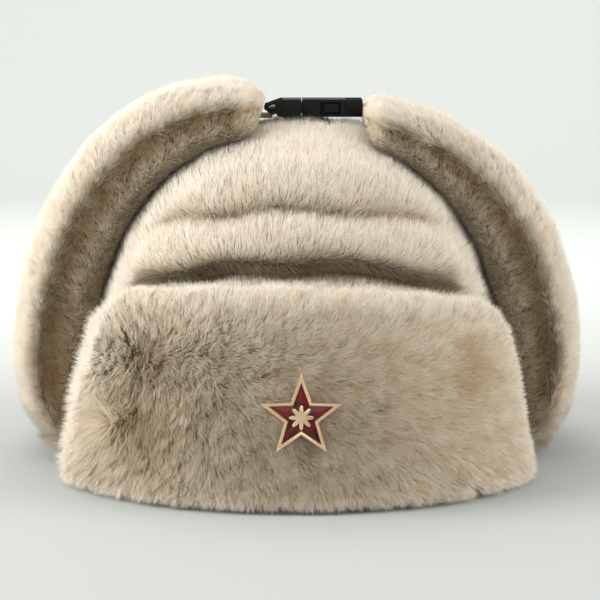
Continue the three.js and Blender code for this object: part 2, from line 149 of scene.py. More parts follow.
def mesh_from(name: str, points: np.ndarray, faces: list[np.ndarray]) -> bpy.types.Mesh:
    """Make a mesh from arrays.

    Args:
        name: The mesh's name.
        points: Places in mm, one row each.
        faces: Arrays of corner numbers, one row to a face and one array to each count of corners.

    Returns:
        The mesh, in metres and smooth shaded.
    """
    mesh = bpy.data.meshes.new(name)
    sizes = np.concatenate([np.full(len(f), f.shape[1]) for f in faces])
    corners = np.concatenate([f.ravel() for f in faces])
    mesh.vertices.add(len(points))
    mesh.vertices.foreach_set("co", (points * MM).astype(np.float32).ravel())
    mesh.loops.add(len(corners))
    mesh.loops.foreach_set("vertex_index", corners.astype(np.int32))
    mesh.polygons.add(len(sizes))
    mesh.polygons.foreach_set("loop_start", (np.cumsum(sizes) - sizes).astype(np.int32))
    mesh.update(calc_edges=True)
    mesh.shade_smooth()
    return mesh


def ring_quads(rows: int, columns: int) -> np.ndarray:
    """Number the corners of the cells between closed rings of points.

    Args:
        rows: How many rings.
        columns: How many points each ring has.

    Returns:
        Corner numbers, one row of four to a cell, with each ring's last point next to its first.
    """
    index = np.arange(rows * columns).reshape(rows, columns)
    around = np.roll(index, -1, axis=1)
    return np.stack([index[:-1], index[1:], around[1:], around[:-1]], axis=-1).reshape(-1, 4)


@dataclass
class Grid:
    """A closed surface: rings of points, each ring closed on itself.

    Attributes:
        points: Places in mm, by ring, by place in the ring.
        comb: The way in which the pile lies, at the same places.
        weight: Share of the full density of pile there, from 0 to 1.
        length: Share of the full length of pile there.
        depth: How deep the backing lies under the outer form there, in mm.
        shade_and_dull: How much darker and browner the pile is painted there, from 0 to 1, as painted shade
            in creases and grooves and as a duller tone elsewhere.
    """

    points: np.ndarray
    comb: np.ndarray
    weight: np.ndarray
    length: np.ndarray
    depth: np.ndarray
    shade_and_dull: np.ndarray
    normals: np.ndarray = field(init=False)

    def __post_init__(self) -> None:
        """Turn the rings so that the surface faces outwards, and work out its normals."""
        if self.volume() < 0:
            for key in ("points", "comb", "weight", "length", "depth", "shade_and_dull"):
                setattr(self, key, getattr(self, key)[:, ::-1])
        self.normals = self.find_normals(self.points)

    def corners(self) -> tuple[np.ndarray, ...]:
        """Give the four corners of every cell, in order round it.

        Returns:
            Four arrays of places in mm.
        """
        p = self.points
        q = np.roll(p, -1, axis=1)
        return p[:-1], p[1:], q[1:], q[:-1]

    def volume(self) -> float:
        """Sum a third of each cell's middle times its area vector, plus the flat caps' share.

        Returns:
            The volume in cubic mm, less than 0 where the surface is inside out.
        """
        a, b, c, d = self.corners()
        middle = (a + b + c + d) / 4
        return float(np.sum(middle * np.cross(c - a, d - b)) / 6)

    @staticmethod
    def find_normals(p: np.ndarray) -> np.ndarray:
        """Cross the steps along and round the rings, with a pole's normal from its neighbours.

        Args:
            p: Places, by ring, by place in the ring.

        Returns:
            Unit vectors at the same places.
        """
        round_ring = np.roll(p, -1, axis=1) - np.roll(p, 1, axis=1)
        n = np.cross(np.gradient(p, axis=0), round_ring)
        size = np.linalg.norm(n, axis=-1, keepdims=True)
        n = n / np.maximum(size, 1e-9)
        for end, inner in ((0, 1), (-1, -2)):
            if size[end].max() < 1e-6:
                n[end] = unit(n[inner].mean(axis=0))
        return n

    def backing(self) -> np.ndarray:
        """Move every point inwards along its normal by its depth."""
        return self.points - self.normals * self.depth[..., None]

    def faces(self) -> np.ndarray:
        """Number the corners of every cell, as quads that face outwards."""
        return ring_quads(*self.points.shape[:2])


def closed_mesh(name: str, grid: Grid) -> bpy.types.Mesh:
    """Make the mesh of a grid's backing, closed by merging the points that meet at its ends.

    Args:
        name: The mesh's name.
        grid: The grid.

    Returns:
        A closed mesh.
    """
    mesh = mesh_from(name, grid.backing().reshape(-1, 3), [grid.faces()])
    shell = bmesh.new()
    shell.from_mesh(mesh)
    bmesh.ops.remove_doubles(shell, verts=shell.verts, dist=0.02 * MM)
    bmesh.ops.dissolve_degenerate(shell, edges=shell.edges, dist=0.01 * MM)
    shell.to_mesh(mesh)
    shell.free()
    mesh.shade_smooth()
    return mesh


# Pile

# Wave lengths in mm of the slow changes in which way tufts head, how far they lean and their tone
HEADING_WAVE = 14.0
LEAN_WAVE = 23.0
TONE_WAVE = 9.0


@dataclass(frozen=True)
class Pile:
    """How a pile is cut, combed and matted.

    Attributes:
        length: Length of a blade in mm.
        width: Width of a blade at its root in mm. Real fibres are 0.03 mm, too fine to show, so a
            blade stands for a wisp of them.
        lean: Lowest and highest lean of a tuft from upright in degrees.
        stray: Spread of the tufts' headings in degrees.
        clump: Distance between tufts in mm.
        pull: How far a tip is drawn to the middle of its tuft, from 0 to 1.
        even: How alike the blades of a tuft lean and head, from 0 to 1.
        loose: Share of the blades that stand out, longer and less combed.
        mottle: How unlike in tone the tufts are, from 0 to 1.
    """

    length: float = 9.6
    width: float = 0.46
    lean: tuple[float, float] = (30.0, 60.0)
    stray: float = 32.0
    clump: float = 2.1
    pull: float = 0.5
    even: float = 0.4
    loose: float = 0.03
    mottle: float = 0.38


@dataclass
class Roots:
    """Where blades stand.

    Attributes:
        place: Each root's place in mm.
        normal: The backing's unit normal there.
        comb: The unit way in which the pile lies there.
        length: Share of the full length.
        shade_and_dull: How much darker and browner the blade is painted, from 0 to 1, for painted shade and
            for a duller tone.
    """

    place: np.ndarray
    normal: np.ndarray
    comb: np.ndarray
    length: np.ndarray
    shade_and_dull: np.ndarray


def scatter(grid: Grid, count: int, rng: np.random.Generator) -> Roots:
    """Strew roots over a grid's backing, evenly by area times weight.

    Args:
        grid: The outer form and its backing.
        count: How many roots.
        rng: Source of the random places.

    Returns:
        The roots, worked out at random places in cells by blending the four corners.
    """
    a, b, c, d = grid.corners()
    area = np.linalg.norm(np.cross(c - a, d - b), axis=-1)
    weight = grid.weight
    mean = (weight[:-1] + weight[1:] + np.roll(weight, -1, 1)[:-1] + np.roll(weight, -1, 1)[1:]) / 4
    chance = (area * mean).ravel()
    cell = rng.choice(chance.size, size=count, p=chance / chance.sum())
    i, j = np.unravel_index(cell, area.shape)
    k = (j + 1) % grid.points.shape[1]
    u, v = rng.random((2, count))

    def at(values: np.ndarray) -> np.ndarray:
        """Blend the four corners' values in each chosen cell.

        Args:
            values: Numbers or vectors, by ring, by place in the ring.

        Returns:
            One for each root.
        """
        s, t = (u[:, None], v[:, None]) if values.ndim == 3 else (u, v)
        low = blend(values[i, j], values[i, k], t)
        return blend(low, blend(values[i + 1, j], values[i + 1, k], t), s)

    normal = unit(at(grid.normals))
    comb = across(at(grid.comb), normal)
    # The grid's darkening, painted shade included, is carried to every root.
    return Roots(at(grid.backing()), normal, comb, at(grid.length), at(grid.shade_and_dull))


def nearest_tuft(
    place: np.ndarray, size: float, salt: float
) -> tuple[np.ndarray, np.ndarray, np.ndarray]:
    """Find the tuft that each place belongs to.

    Space is cut into cubes of the tuft's size, each with one middle at a hashed place in it. The
    nearest middle among the 27 cubes around a place is its tuft.

    Args:
        place: Places in mm.
        size: Distance between tufts in mm.
        salt: Tells one pile from another.

    Returns:
        The middles, and for each tuft a tone and a turn from 0 to 1.
    """
    home = np.floor(place / size)
    best = np.full(len(place), np.inf)
    middle = np.zeros_like(place)
    tone, turn = np.zeros((2, len(place)))
    for step in np.stack(np.meshgrid(*[[-1, 0, 1]] * 3), axis=-1).reshape(-1, 3):
        cell = home + step
        spot = (cell + np.stack([hashed(cell, salt + k) for k in (1, 2, 3)], axis=-1)) * size
        gap = np.linalg.norm(spot - place, axis=-1)
        closer = gap < best
        best = np.where(closer, gap, best)
        middle = np.where(closer[:, None], spot, middle)
        tone = np.where(closer, hashed(cell, salt + 4), tone)
        turn = np.where(closer, hashed(cell, salt + 5), turn)
    return middle, tone, turn


def grow(name: str, roots: Roots, pile: Pile, seed: int) -> bpy.types.Object:
    """Grow blades of pile from their roots as one mesh.

    A blade is a thin triangle. Its two root points lie across its lean, and its tip is its root
    plus its length times n cos(lean) + comb sin(lean), drawn towards the middle of its tuft. It is
    shaded with the surface's normal, turned a third of the way to its own, so that both of its
    sides take the light as a round fibre does.

    Args:
        name: The piece's name.
        roots: Where the blades stand.
        pile: How they are cut and combed.
        seed: Seed of their differences.

    Returns:
        The pile, with attributes along (0 at the root, 1 at the tip), tone (0 to 1, lower for duller tufts
        and where shade is painted) and facing.
    """
    rng = np.random.default_rng(seed)
    count = len(roots.place)
    n, place = roots.normal, roots.place
    middle, tone, turn = nearest_tuft(place, pile.clump, seed)
    loose = rng.random(count) < pile.loose
    alone = rng.normal(size=count) * np.where(loose, 2.0, 1 - pile.even)
    shared = 2.0 * pile.even * (2 * turn - 1) + 0.6 * ripple(middle, HEADING_WAVE, seed)
    swirl = np.radians(pile.stray) * (alone + shared)
    side = np.cross(n, roots.comb)
    comb = roots.comb * np.cos(swirl)[:, None] + side * np.sin(swirl)[:, None]
    lean = blend(*pile.lean, blend(rng.random(count), tone, pile.even))
    lean = np.radians(lean + 6.0 * ripple(middle, LEAN_WAVE, seed + 1))
    lean = np.where(loose, lean * 0.6, lean)
    length = pile.length * roots.length * rng.uniform(0.75, 1.05, count) * (0.88 + 0.24 * tone)
    length = np.where(loose, length * 1.15, length)
    way = n * np.cos(lean)[:, None] + comb * np.sin(lean)[:, None]
    draw = (middle - place) - n * np.sum((middle - place) * n, axis=-1, keepdims=True)
    pull = pile.pull * rng.uniform(0.7, 1.15, count) * np.where(loose, 0.2, 1.0)
    tip = place + way * length[:, None] + draw * pull[:, None]
    way = unit(tip - place)
    twist = rng.normal(0.0, 0.6, count)[:, None]
    flat = unit(np.cross(way, n))
    flat = flat * np.cos(twist) + np.cross(way, flat) * np.sin(twist)
    wide = flat * (pile.width / 2 * rng.uniform(0.7, 1.3, count))[:, None]
    points = np.stack([place - wide, place + wide, tip], axis=1)
    points[..., 2] = np.maximum(points[..., 2], 0.25 + 0.5 * tone[:, None])
    mesh = mesh_from(name, points.reshape(-1, 3), [np.arange(count * 3).reshape(-1, 3)])
    shade = np.repeat(unit(blend(across(n, way), n, 0.65)), 3, axis=0)
    mesh.normals_split_custom_set_from_vertices(shade)
    # Tone: tufts differ at random, and it falls further where the roots carry painted shade, in creases,
    # grooves and shaded faces.
    mixed = 0.45 * tone + 0.15 * (1 + ripple(middle, TONE_WAVE, seed + 2)) + 0.25 * rng.random(count)
    mottle = (pile.mottle + 0.6 * roots.shade_and_dull) * (1 - np.clip(mixed, 0, 1))
    tone_with_shade = np.repeat(np.clip((1 - roots.shade_and_dull) * (1 - mottle), 0, 1), 3)
    for key, values in (("along", np.tile([0.0, 0.0, 1.0], count)), ("tone", tone_with_shade)):
        layer = mesh.attributes.new(key, "FLOAT", "POINT")
        layer.data.foreach_set("value", values.astype(np.float32))
    layer = mesh.attributes.new("facing", "FLOAT_VECTOR", "POINT")
    layer.data.foreach_set("vector", shade.astype(np.float32).ravel())
    return new_object(name, mesh)


# Materials


def linear(code: str) -> tuple[float, float, float, float]:
    """Turn an sRGB hex colour into linear values with an alpha of 1.

    Args:
        code: A colour such as "#a2a4a1".

    Returns:
        Red, green and blue as linear values, and an alpha of 1.
    """
    parts = [int(code[k : k + 2], 16) / 255 for k in (1, 3, 5)]
    r, g, b = (c / 12.92 if c <= 0.04045 else ((c + 0.055) / 1.055) ** 2.4 for c in parts)
    return r, g, b, 1.0


def add_node(
    tree: bpy.types.NodeTree,
    kind: str,
    inputs: dict | None = None,
    **settings: object,
) -> bpy.types.Node:
    """Add a node with its settings and links.

    Args:
        tree: The node tree.
        kind: The node's type name.
        inputs: Values for its sockets, or the sockets that feed them.
        **settings: The node's own properties.

    Returns:
        The node.
    """
    node = tree.nodes.new(kind)
    for key, value in settings.items():
        setattr(node, key, value)
    for key, value in (inputs or {}).items():
        if isinstance(value, bpy.types.NodeSocket):
            tree.links.new(value, node.inputs[key])
        else:
            node.inputs[key].default_value = value
    return node


def set_ramp(node: bpy.types.Node, stops: list[tuple[float, str]]) -> None:
    """Give a colour ramp its stops, as positions and sRGB hex colours.

    Args:
        node: The colour ramp node.
        stops: A position and an sRGB hex colour for each stop.
    """
    ramp = node.color_ramp
    while len(ramp.elements) < len(stops):
        ramp.elements.new(0.5)
    for element, (position, code) in zip(ramp.elements, stops):
        element.position = position
        element.color = linear(code)


@dataclass(frozen=True)
class Finish:
    """A finish, made into a material once.

    Attributes:
        name: The material's name.
        roughness: Roughness of its surface.
    """

    name: str
    roughness: float

    def start(self) -> tuple[bpy.types.Material, bpy.types.NodeTree, bpy.types.Node]:
        """Make the material with only its output and its shader.

        Returns:
            The material, its tree and its shader.
        """
        material = bpy.data.materials.new(self.name)
        material.use_nodes = True
        tree = material.node_tree
        tree.nodes.clear()
        shader = add_node(tree, "ShaderNodeBsdfPrincipled", {"Roughness": self.roughness})
        add_node(tree, "ShaderNodeOutputMaterial", {"Surface": shader.outputs["BSDF"]})
        return material, tree, shader


@dataclass(frozen=True)
class AcrylicPile(Finish):
    """Cut acrylic pile. Its tips are cream and catch the light; its roots are painted a darker taupe, as
    painted shade deep in the pile.

    Attributes:
        root: Colour at the root, darker as painted shade deep in the pile.
        waist: Colour of the lower half.
        tip: Colour at the tip.
        shade_and_dull: What the dullest tufts, and the pile where shade is painted, are multiplied by.
        plain: What the middling tufts are multiplied by.
        through: Share of the light that goes through a fibre.
    """

    name: str = "acrylic_pile"
    roughness: float = 0.8
    root: str = "#b5a284"
    waist: str = "#e6dccb"
    tip: str = "#f6f0e6"
    shade_and_dull: str = "#bc8b48"
    plain: str = "#d6c9b2"
    through: float = 0.45

    def build(self) -> bpy.types.Material:
        """Colour each blade from root to tip, darker at the root as painted shade, and each tuft a little
        differently, darker and browner where shade is painted.

        Returns:
            The material.
        """
        material, tree, shader = self.start()
        along = add_node(tree, "ShaderNodeAttribute", attribute_name="along")
        tone = add_node(tree, "ShaderNodeAttribute", attribute_name="tone")
        # From root to tip: the darker root is painted shade deep in the pile.
        ramp = add_node(tree, "ShaderNodeValToRGB", {"Fac": along.outputs["Fac"]})
        set_ramp(ramp, [(0.0, self.root), (0.4, self.waist), (0.8, self.tip)])
        # By tone: low tones are the duller tufts and the painted shade in creases, grooves and shaded faces.
        tint = add_node(tree, "ShaderNodeValToRGB", {"Fac": tone.outputs["Fac"]})
        set_ramp(tint, [(0.0, self.shade_and_dull), (0.5, self.plain), (1.0, "#ffffff")])
        facing = add_node(tree, "ShaderNodeAttribute", attribute_name="facing")
        mix = add_node(
            tree,
            "ShaderNodeMix",
            {0: 1.0, 6: ramp.outputs["Color"], 7: tint.outputs["Color"]},
            data_type="RGBA",
            blend_type="MULTIPLY",
        )
        tree.links.new(mix.outputs[2], shader.inputs["Base Color"])
        tree.links.new(facing.outputs["Vector"], shader.inputs["Normal"])
        through = add_node(tree, "ShaderNodeBsdfTranslucent", {"Color": mix.outputs[2]})
        both = add_node(
            tree,
            "ShaderNodeMixShader",
            {0: self.through, 1: shader.outputs["BSDF"], 2: through.outputs["BSDF"]},
        )
        output = next(node for node in tree.nodes if node.type == "OUTPUT_MATERIAL")
        tree.links.new(both.outputs["Shader"], output.inputs["Surface"])
        shader.inputs["IOR"].default_value = 1.49
        shader.inputs["Specular IOR Level"].default_value = 0.3
        shader.inputs["Sheen Weight"].default_value = 0.25
        shader.inputs["Sheen Roughness"].default_value = 0.5
        shader.inputs["Sheen Tint"].default_value = linear("#f5ecd8")
        return material


@dataclass(frozen=True)
class KnitBacking(Finish):
    """Knitted backing of the plush. It is matt, and shows only between the tufts; both of its colours are
    painted darker and browner than the cream pile, as painted shade deep in the pile.

    Attributes:
        shade: Colour between the loops.
        light: Colour of the loops.
        loop: Size of a loop in mm.
    """

    name: str = "knit_backing"
    roughness: float = 0.95
    shade: str = "#9c8c72"
    light: str = "#b3a68e"
    loop: float = 1.2

    def build(self) -> bpy.types.Material:
        """Mottle the knit at the size of its loops.

        Returns:
            The material.
        """
        material, tree, shader = self.start()
        place = add_node(tree, "ShaderNodeTexCoord")
        scale = {"Vector": place.outputs["Object"], "Scale": 1 / (self.loop * MM), "Detail": 3.0}
        mottle = add_node(tree, "ShaderNodeTexNoise", scale)
        ramp = add_node(tree, "ShaderNodeValToRGB", {"Fac": mottle.outputs["Fac"]})
        # Both colours are darker and browner than the cream pile: painted shade deep in the pile.
        set_ramp(ramp, [(0.35, self.shade), (0.65, self.light)])
        tree.links.new(ramp.outputs["Color"], shader.inputs["Base Color"])
        return material


@dataclass(frozen=True)
class TwillLining(Finish):
    """Woven twill lining of the head hollow: smooth cotton with fine slanting ribs.

    Attributes:
        valley: Colour between the ribs.
        ridge: Colour of the ribs.
        rib: Distance between ribs in mm. Real ones are 0.7 mm apart, too fine to show.
    """

    name: str = "twill_lining"
    roughness: float = 0.8
    valley: str = "#a99c82"
    ridge: str = "#cbbfa6"
    rib: float = 1.4

    def build(self) -> bpy.types.Material:
        """Draw slanting ribs, twice as coarse as real ones so that they show, and raise them.

        Returns:
            The material.
        """
        material, tree, shader = self.start()
        place = add_node(tree, "ShaderNodeTexCoord")
        ribs = add_node(
            tree,
            "ShaderNodeTexWave",
            {"Vector": place.outputs["Object"], "Scale": math.pi / 10 / (self.rib * MM), "Distortion": 0.4},
            bands_direction="DIAGONAL",
        )
        ramp = add_node(tree, "ShaderNodeValToRGB", {"Fac": ribs.outputs["Fac"]})
        set_ramp(ramp, [(0.2, self.valley), (0.8, self.ridge)])
        bump = add_node(
            tree, "ShaderNodeBump", {"Height": ribs.outputs["Fac"], "Distance": 0.2 * MM, "Strength": 0.6}
        )
        tree.links.new(ramp.outputs["Color"], shader.inputs["Base Color"])
        tree.links.new(bump.outputs["Normal"], shader.inputs["Normal"])
        return material


@dataclass(frozen=True)
class MouldedAcetal(Finish):
    """Moulded black acetal: a satin skin with a fine spark-eroded grain.

    Attributes:
        colour: Its black.
        grain_peak: Its black where the grain stands up, a little lighter.
        grain: Size of the grain in mm.
    """

    name: str = "moulded_acetal"
    roughness: float = 0.5
    colour: str = "#0c0d0c"
    grain_peak: str = "#181918"
    grain: float = 0.5

    def build(self) -> bpy.types.Material:
        """Break the black and the gloss up with the grain.

        Returns:
            The material.
        """
        material, tree, shader = self.start()
        place = add_node(tree, "ShaderNodeTexCoord")
        scale = {"Vector": place.outputs["Object"], "Scale": 1 / (self.grain * MM), "Detail": 2.0}
        grain = add_node(tree, "ShaderNodeTexNoise", scale)
        ramp = add_node(tree, "ShaderNodeValToRGB", {"Fac": grain.outputs["Fac"]})
        set_ramp(ramp, [(0.3, self.colour), (0.8, self.grain_peak)])
        gloss = add_node(
            tree,
            "ShaderNodeMapRange",
            {"Value": grain.outputs["Fac"], "To Min": self.roughness - 0.1, "To Max": self.roughness + 0.12},
        )
        bump = add_node(
            tree, "ShaderNodeBump", {"Height": grain.outputs["Fac"], "Distance": 0.02 * MM, "Strength": 0.5}
        )
        tree.links.new(ramp.outputs["Color"], shader.inputs["Base Color"])
        tree.links.new(gloss.outputs["Result"], shader.inputs["Roughness"])
        tree.links.new(bump.outputs["Normal"], shader.inputs["Normal"])
        shader.inputs["IOR"].default_value = 1.48
        shader.inputs["Specular IOR Level"].default_value = 0.15
        return material


@dataclass(frozen=True)
class GrosgrainTape(Finish):
    """Grosgrain tape: ribs across its length, in beige-grey polyester.

    Attributes:
        valley: Colour between the ribs.
        ridge: Colour of the ribs.
        rib: Distance between ribs in mm.
    """

    name: str = "grosgrain_tape"
    roughness: float = 0.85
    valley: str = "#6b6250"
    ridge: str = "#a59a85"
    rib: float = 0.9

    def build(self) -> bpy.types.Material:
        """Draw ribs along Y and raise them.

        Returns:
            The material.
        """
        material, tree, shader = self.start()
        place = add_node(tree, "ShaderNodeTexCoord")
        ribs = add_node(
            tree,
            "ShaderNodeTexWave",
            {"Vector": place.outputs["Object"], "Scale": math.pi / 10 / (self.rib * MM), "Distortion": 0.3},
            bands_direction="X",
        )
        ramp = add_node(tree, "ShaderNodeValToRGB", {"Fac": ribs.outputs["Fac"]})
        set_ramp(ramp, [(0.15, self.valley), (0.7, self.ridge)])
        bump = add_node(
            tree, "ShaderNodeBump", {"Height": ribs.outputs["Fac"], "Distance": 0.15 * MM, "Strength": 0.8}
        )
        tree.links.new(ramp.outputs["Color"], shader.inputs["Base Color"])
        tree.links.new(bump.outputs["Normal"], shader.inputs["Normal"])
        return material


@dataclass(frozen=True)
class PolishedGilt(Finish):
    """Polished pale gilding on stamped brass, a little cloudy where fingers have been.

    Attributes:
        colour: Its gold.
        cloud: Size of the clouding in mm.
    """

    name: str = "polished_gilt"
    roughness: float = 0.2
    colour: str = "#f8d3ac"
    cloud: float = 3.0

    def build(self) -> bpy.types.Material:
        """Cloud the gloss of the metal.

        Returns:
            The material.
        """
        material, tree, shader = self.start()
        place = add_node(tree, "ShaderNodeTexCoord")
        scale = {"Vector": place.outputs["Object"], "Scale": 1 / (self.cloud * MM), "Detail": 4.0}
        cloud = add_node(tree, "ShaderNodeTexNoise", scale)
        gloss = add_node(
            tree,
            "ShaderNodeMapRange",
            {"Value": cloud.outputs["Fac"], "To Min": self.roughness - 0.08, "To Max": self.roughness + 0.14},
        )
        tree.links.new(gloss.outputs["Result"], shader.inputs["Roughness"])
        shader.inputs["Base Color"].default_value = linear(self.colour)
        shader.inputs["Metallic"].default_value = 1.0
        return material


@dataclass(frozen=True)
class CastEnamel(Finish):
    """Dark red cast enamel: deep, wet looking, and darker where it is thick.

    Attributes:
        thick: Colour where it is thick.
        thin: Colour where it is thin.
        cloud: Size of the drifts in mm.
    """

    name: str = "cast_enamel"
    roughness: float = 0.16
    thick: str = "#2c0b09"
    thin: str = "#641415"
    cloud: float = 6.0

    def build(self) -> bpy.types.Material:
        """Drift the red slowly from thick to thin, under a clear coat.

        Returns:
            The material.
        """
        material, tree, shader = self.start()
        place = add_node(tree, "ShaderNodeTexCoord")
        scale = {"Vector": place.outputs["Object"], "Scale": 1 / (self.cloud * MM), "Detail": 2.0}
        cloud = add_node(tree, "ShaderNodeTexNoise", scale)
        ramp = add_node(tree, "ShaderNodeValToRGB", {"Fac": cloud.outputs["Fac"]})
        set_ramp(ramp, [(0.35, self.thick), (0.65, self.thin)])
        tree.links.new(ramp.outputs["Color"], shader.inputs["Base Color"])
        shader.inputs["IOR"].default_value = 1.52
        shader.inputs["Specular IOR Level"].default_value = 0.25
        shader.inputs["Coat Weight"].default_value = 0.1
        shader.inputs["Coat Roughness"].default_value = 0.05
        return material


@dataclass(frozen=True)
class StudioPaper(Finish):
    """Matt white studio paper.

    Attributes:
        colour: Its shade.
        tooth: Size of its tooth in mm.
    """

    name: str = "studio_paper"
    roughness: float = 0.95
    colour: str = "#a2a4a1"
    tooth: float = 4.0

    def build(self) -> bpy.types.Material:
        """Colour the paper evenly, with a faint tooth.

        Returns:
            The material.
        """
        material, tree, shader = self.start()
        place = add_node(tree, "ShaderNodeTexCoord")
        scale = {"Vector": place.outputs["Object"], "Scale": 1 / (self.tooth * MM)}
        tooth = add_node(tree, "ShaderNodeTexNoise", scale)
        bump = add_node(
            tree, "ShaderNodeBump", {"Height": tooth.outputs["Fac"], "Distance": 0.02 * MM, "Strength": 0.2}
        )
        tree.links.new(bump.outputs["Normal"], shader.inputs["Normal"])
        shader.inputs["Base Color"].default_value = linear(self.colour)
        return material


# The smooth crown that every soft piece follows


@dataclass
class Dome:
    """The smooth form of the crown, in mm. Angles turn from the front (-Y) towards +X.

    Attributes:
        half_breadth: Half its size from side to side.
        half_length: Half its size from front to back.
        height: Its height.
        plan_power: 2 makes an ellipse seen from above, more makes it squarer.
        dome_power: The same, seen from the side.
        gap: Distance between it and the pieces folded against it.
    """

    half_breadth: float
    half_length: float
    height: float
    plan_power: float = 2.15
    dome_power: float = 2.5
    gap: float = 0.7

    @classmethod
    def from_frame(cls) -> "Dome":
        """Take the sizes from the crown's solid."""
        low, high = (np.array(corner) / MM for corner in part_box("crown"))
        return cls(*((high - low)[:2] / 2), high[2])

    def plan_radius(self, angle: np.ndarray, inset: float = 0.0) -> np.ndarray:
        """Distance from the axis to the rim: the superellipse of the two half sizes.

        Args:
            angle: Angles from the front.
            inset: How far inside the rim, in mm.

        Returns:
            Distances in mm.
        """
        x = np.abs(np.sin(angle)) / (self.half_breadth - inset)
        y = np.abs(np.cos(angle)) / (self.half_length - inset)
        return (x**self.plan_power + y**self.plan_power) ** (-1 / self.plan_power)

    def wall_radius(self, angle: np.ndarray, z: np.ndarray) -> np.ndarray:
        """Distance from the axis to the wall at a height: the rim's, times (1 - h^q)^(1/q)."""
        share = np.clip(z / self.height, 0, 0.999)
        return self.plan_radius(angle) * (1 - share**self.dome_power) ** (1 / self.dome_power)

    def radius(self, way: np.ndarray) -> np.ndarray:
        """Distance from the middle of the rim to the wall along unit vectors.

        Args:
            way: Unit vectors.

        Returns:
            Distances in mm: (plan^q + rise^q)^(-1/q), with q the dome's power.
        """
        flat = np.hypot(way[..., 0], way[..., 1])
        plan = flat / self.plan_radius(np.arctan2(way[..., 0], -way[..., 1]))
        rise = np.abs(way[..., 2]) / self.height
        return (plan**self.dome_power + rise**self.dome_power) ** (-1 / self.dome_power)

    def beside(self, angle: np.ndarray, z: np.ndarray, out: np.ndarray) -> np.ndarray:
        """Points outside the wall, at angles and heights, by a distance in mm."""
        r = self.wall_radius(angle, z) + self.gap + out
        return np.stack([np.sin(angle) * r, -np.cos(angle) * r, z + 0 * r], axis=-1)


@dataclass
class Section:
    """The section of a padded flap, in mm: its low edge, outer face, high edge and inner face.

    Attributes:
        low: Rounding of the low edge.
        high: Rounding of the high edge.
        cleft: Depth of the groove in each edge, as a share of its rounding.
        slope: How much further the low edge is rounded over the outer face than under it.
        steps: Steps along a face.
        turns: Steps round half an edge.
    """

    low: np.ndarray | float
    high: np.ndarray | float
    cleft: np.ndarray | float
    slope: float = 1.0
    steps: int = 30
    turns: int = 8

    def points(self, half: np.ndarray) -> tuple[np.ndarray, np.ndarray, np.ndarray]:
        """Work the section out for columns of half widths.

        On an edge, t is (1 + sin a) / 2, for a from 0 at the edge's middle to 90 degrees at the
        face. The edge lies inside the half width by R (1 - cos a), where R is the rounding, plus the
        groove's depth times cos a exp(-(a / 0.5)^2).

        Args:
            half: Half the flap's width at each station, as a column.

        Returns:
            s, the place across the flap in mm; t, the share of its thickness; and groove, how
            far the place is in a groove, from 0 to 1.
        """
        a = np.linspace(0, math.pi / 2, self.turns + 1)[None, :]
        notch = np.exp(-((a / 0.5) ** 2)) * np.ones_like(half)
        rise = (0.5 + 0.5 * np.sin(a)) * np.ones_like(half)
        share = (np.arange(1, self.steps) / self.steps)[None, :]
        flat = np.ones_like(half) * np.ones_like(share)

        def face(reach: np.ndarray | float) -> np.ndarray:
            """Place one side across the flap, from its low edge, rounded by a reach, to its high one.

            Args:
                reach: Rounding of the low edge on this side, in mm.

            Returns:
                Places across the flap in mm.
            """
            low = reach * (1 - np.cos(a)) + self.low * self.cleft * np.cos(a) * notch - half
            high = half - self.high * (1 - np.cos(a)) - self.high * self.cleft * np.cos(a) * notch
            return np.concatenate([low, blend(reach - half, half - self.high, share), high[:, ::-1]], axis=1)

        t = np.concatenate([rise, flat, rise[:, ::-1]], axis=1)
        groove = np.concatenate([notch, 0 * flat, notch[:, ::-1]], axis=1)
        back = slice(-2, 0, -1)
        return (
            np.concatenate([face(self.low * self.slope), face(self.low)[:, back]], axis=1),
            np.concatenate([t, 1 - t[:, back]], axis=1),
            np.concatenate([groove, groove[:, back]], axis=1),
        )


# Soft pieces


def lie(form: np.ndarray, room: np.ndarray) -> tuple[np.ndarray, np.ndarray]:
    """Fit the backing's depth into thin places.

    Args:
        form: The depth wished for in mm.
        room: The thickness there in mm.

    Returns:
        The smaller of the depth and 0.4 of the room, and the pile's length as a share of its full
        length, which falls to 0.4 with it.
    """
    depth = np.minimum(form, 0.4 * room)
    return depth, 0.4 + 0.6 * np.clip(depth / 6.5, 0, 1)


def rounded_ends(stations: int, share: float) -> tuple[np.ndarray, np.ndarray]:
    """Space stations along a band whose ends are rounded off.

    Args:
        stations: How many stations between the ends.
        share: Share of the half length that a rounded end takes.

    Returns:
        u from -1 to 1, and what the thickness is multiplied by, 1 to 0 as a quarter circle; both
        as columns.
    """
    turn = np.linspace(0, math.pi / 2, 10)[1:]
    end = 1 - share + share * np.sin(turn)
    body = np.linspace(share - 1, 1 - share, stations)
    u = np.concatenate([-end[::-1], body, end])
    shrink = np.concatenate([np.cos(turn)[::-1], np.ones(stations), np.cos(turn)])
    return u[:, None], np.round(shrink, 6)[:, None]


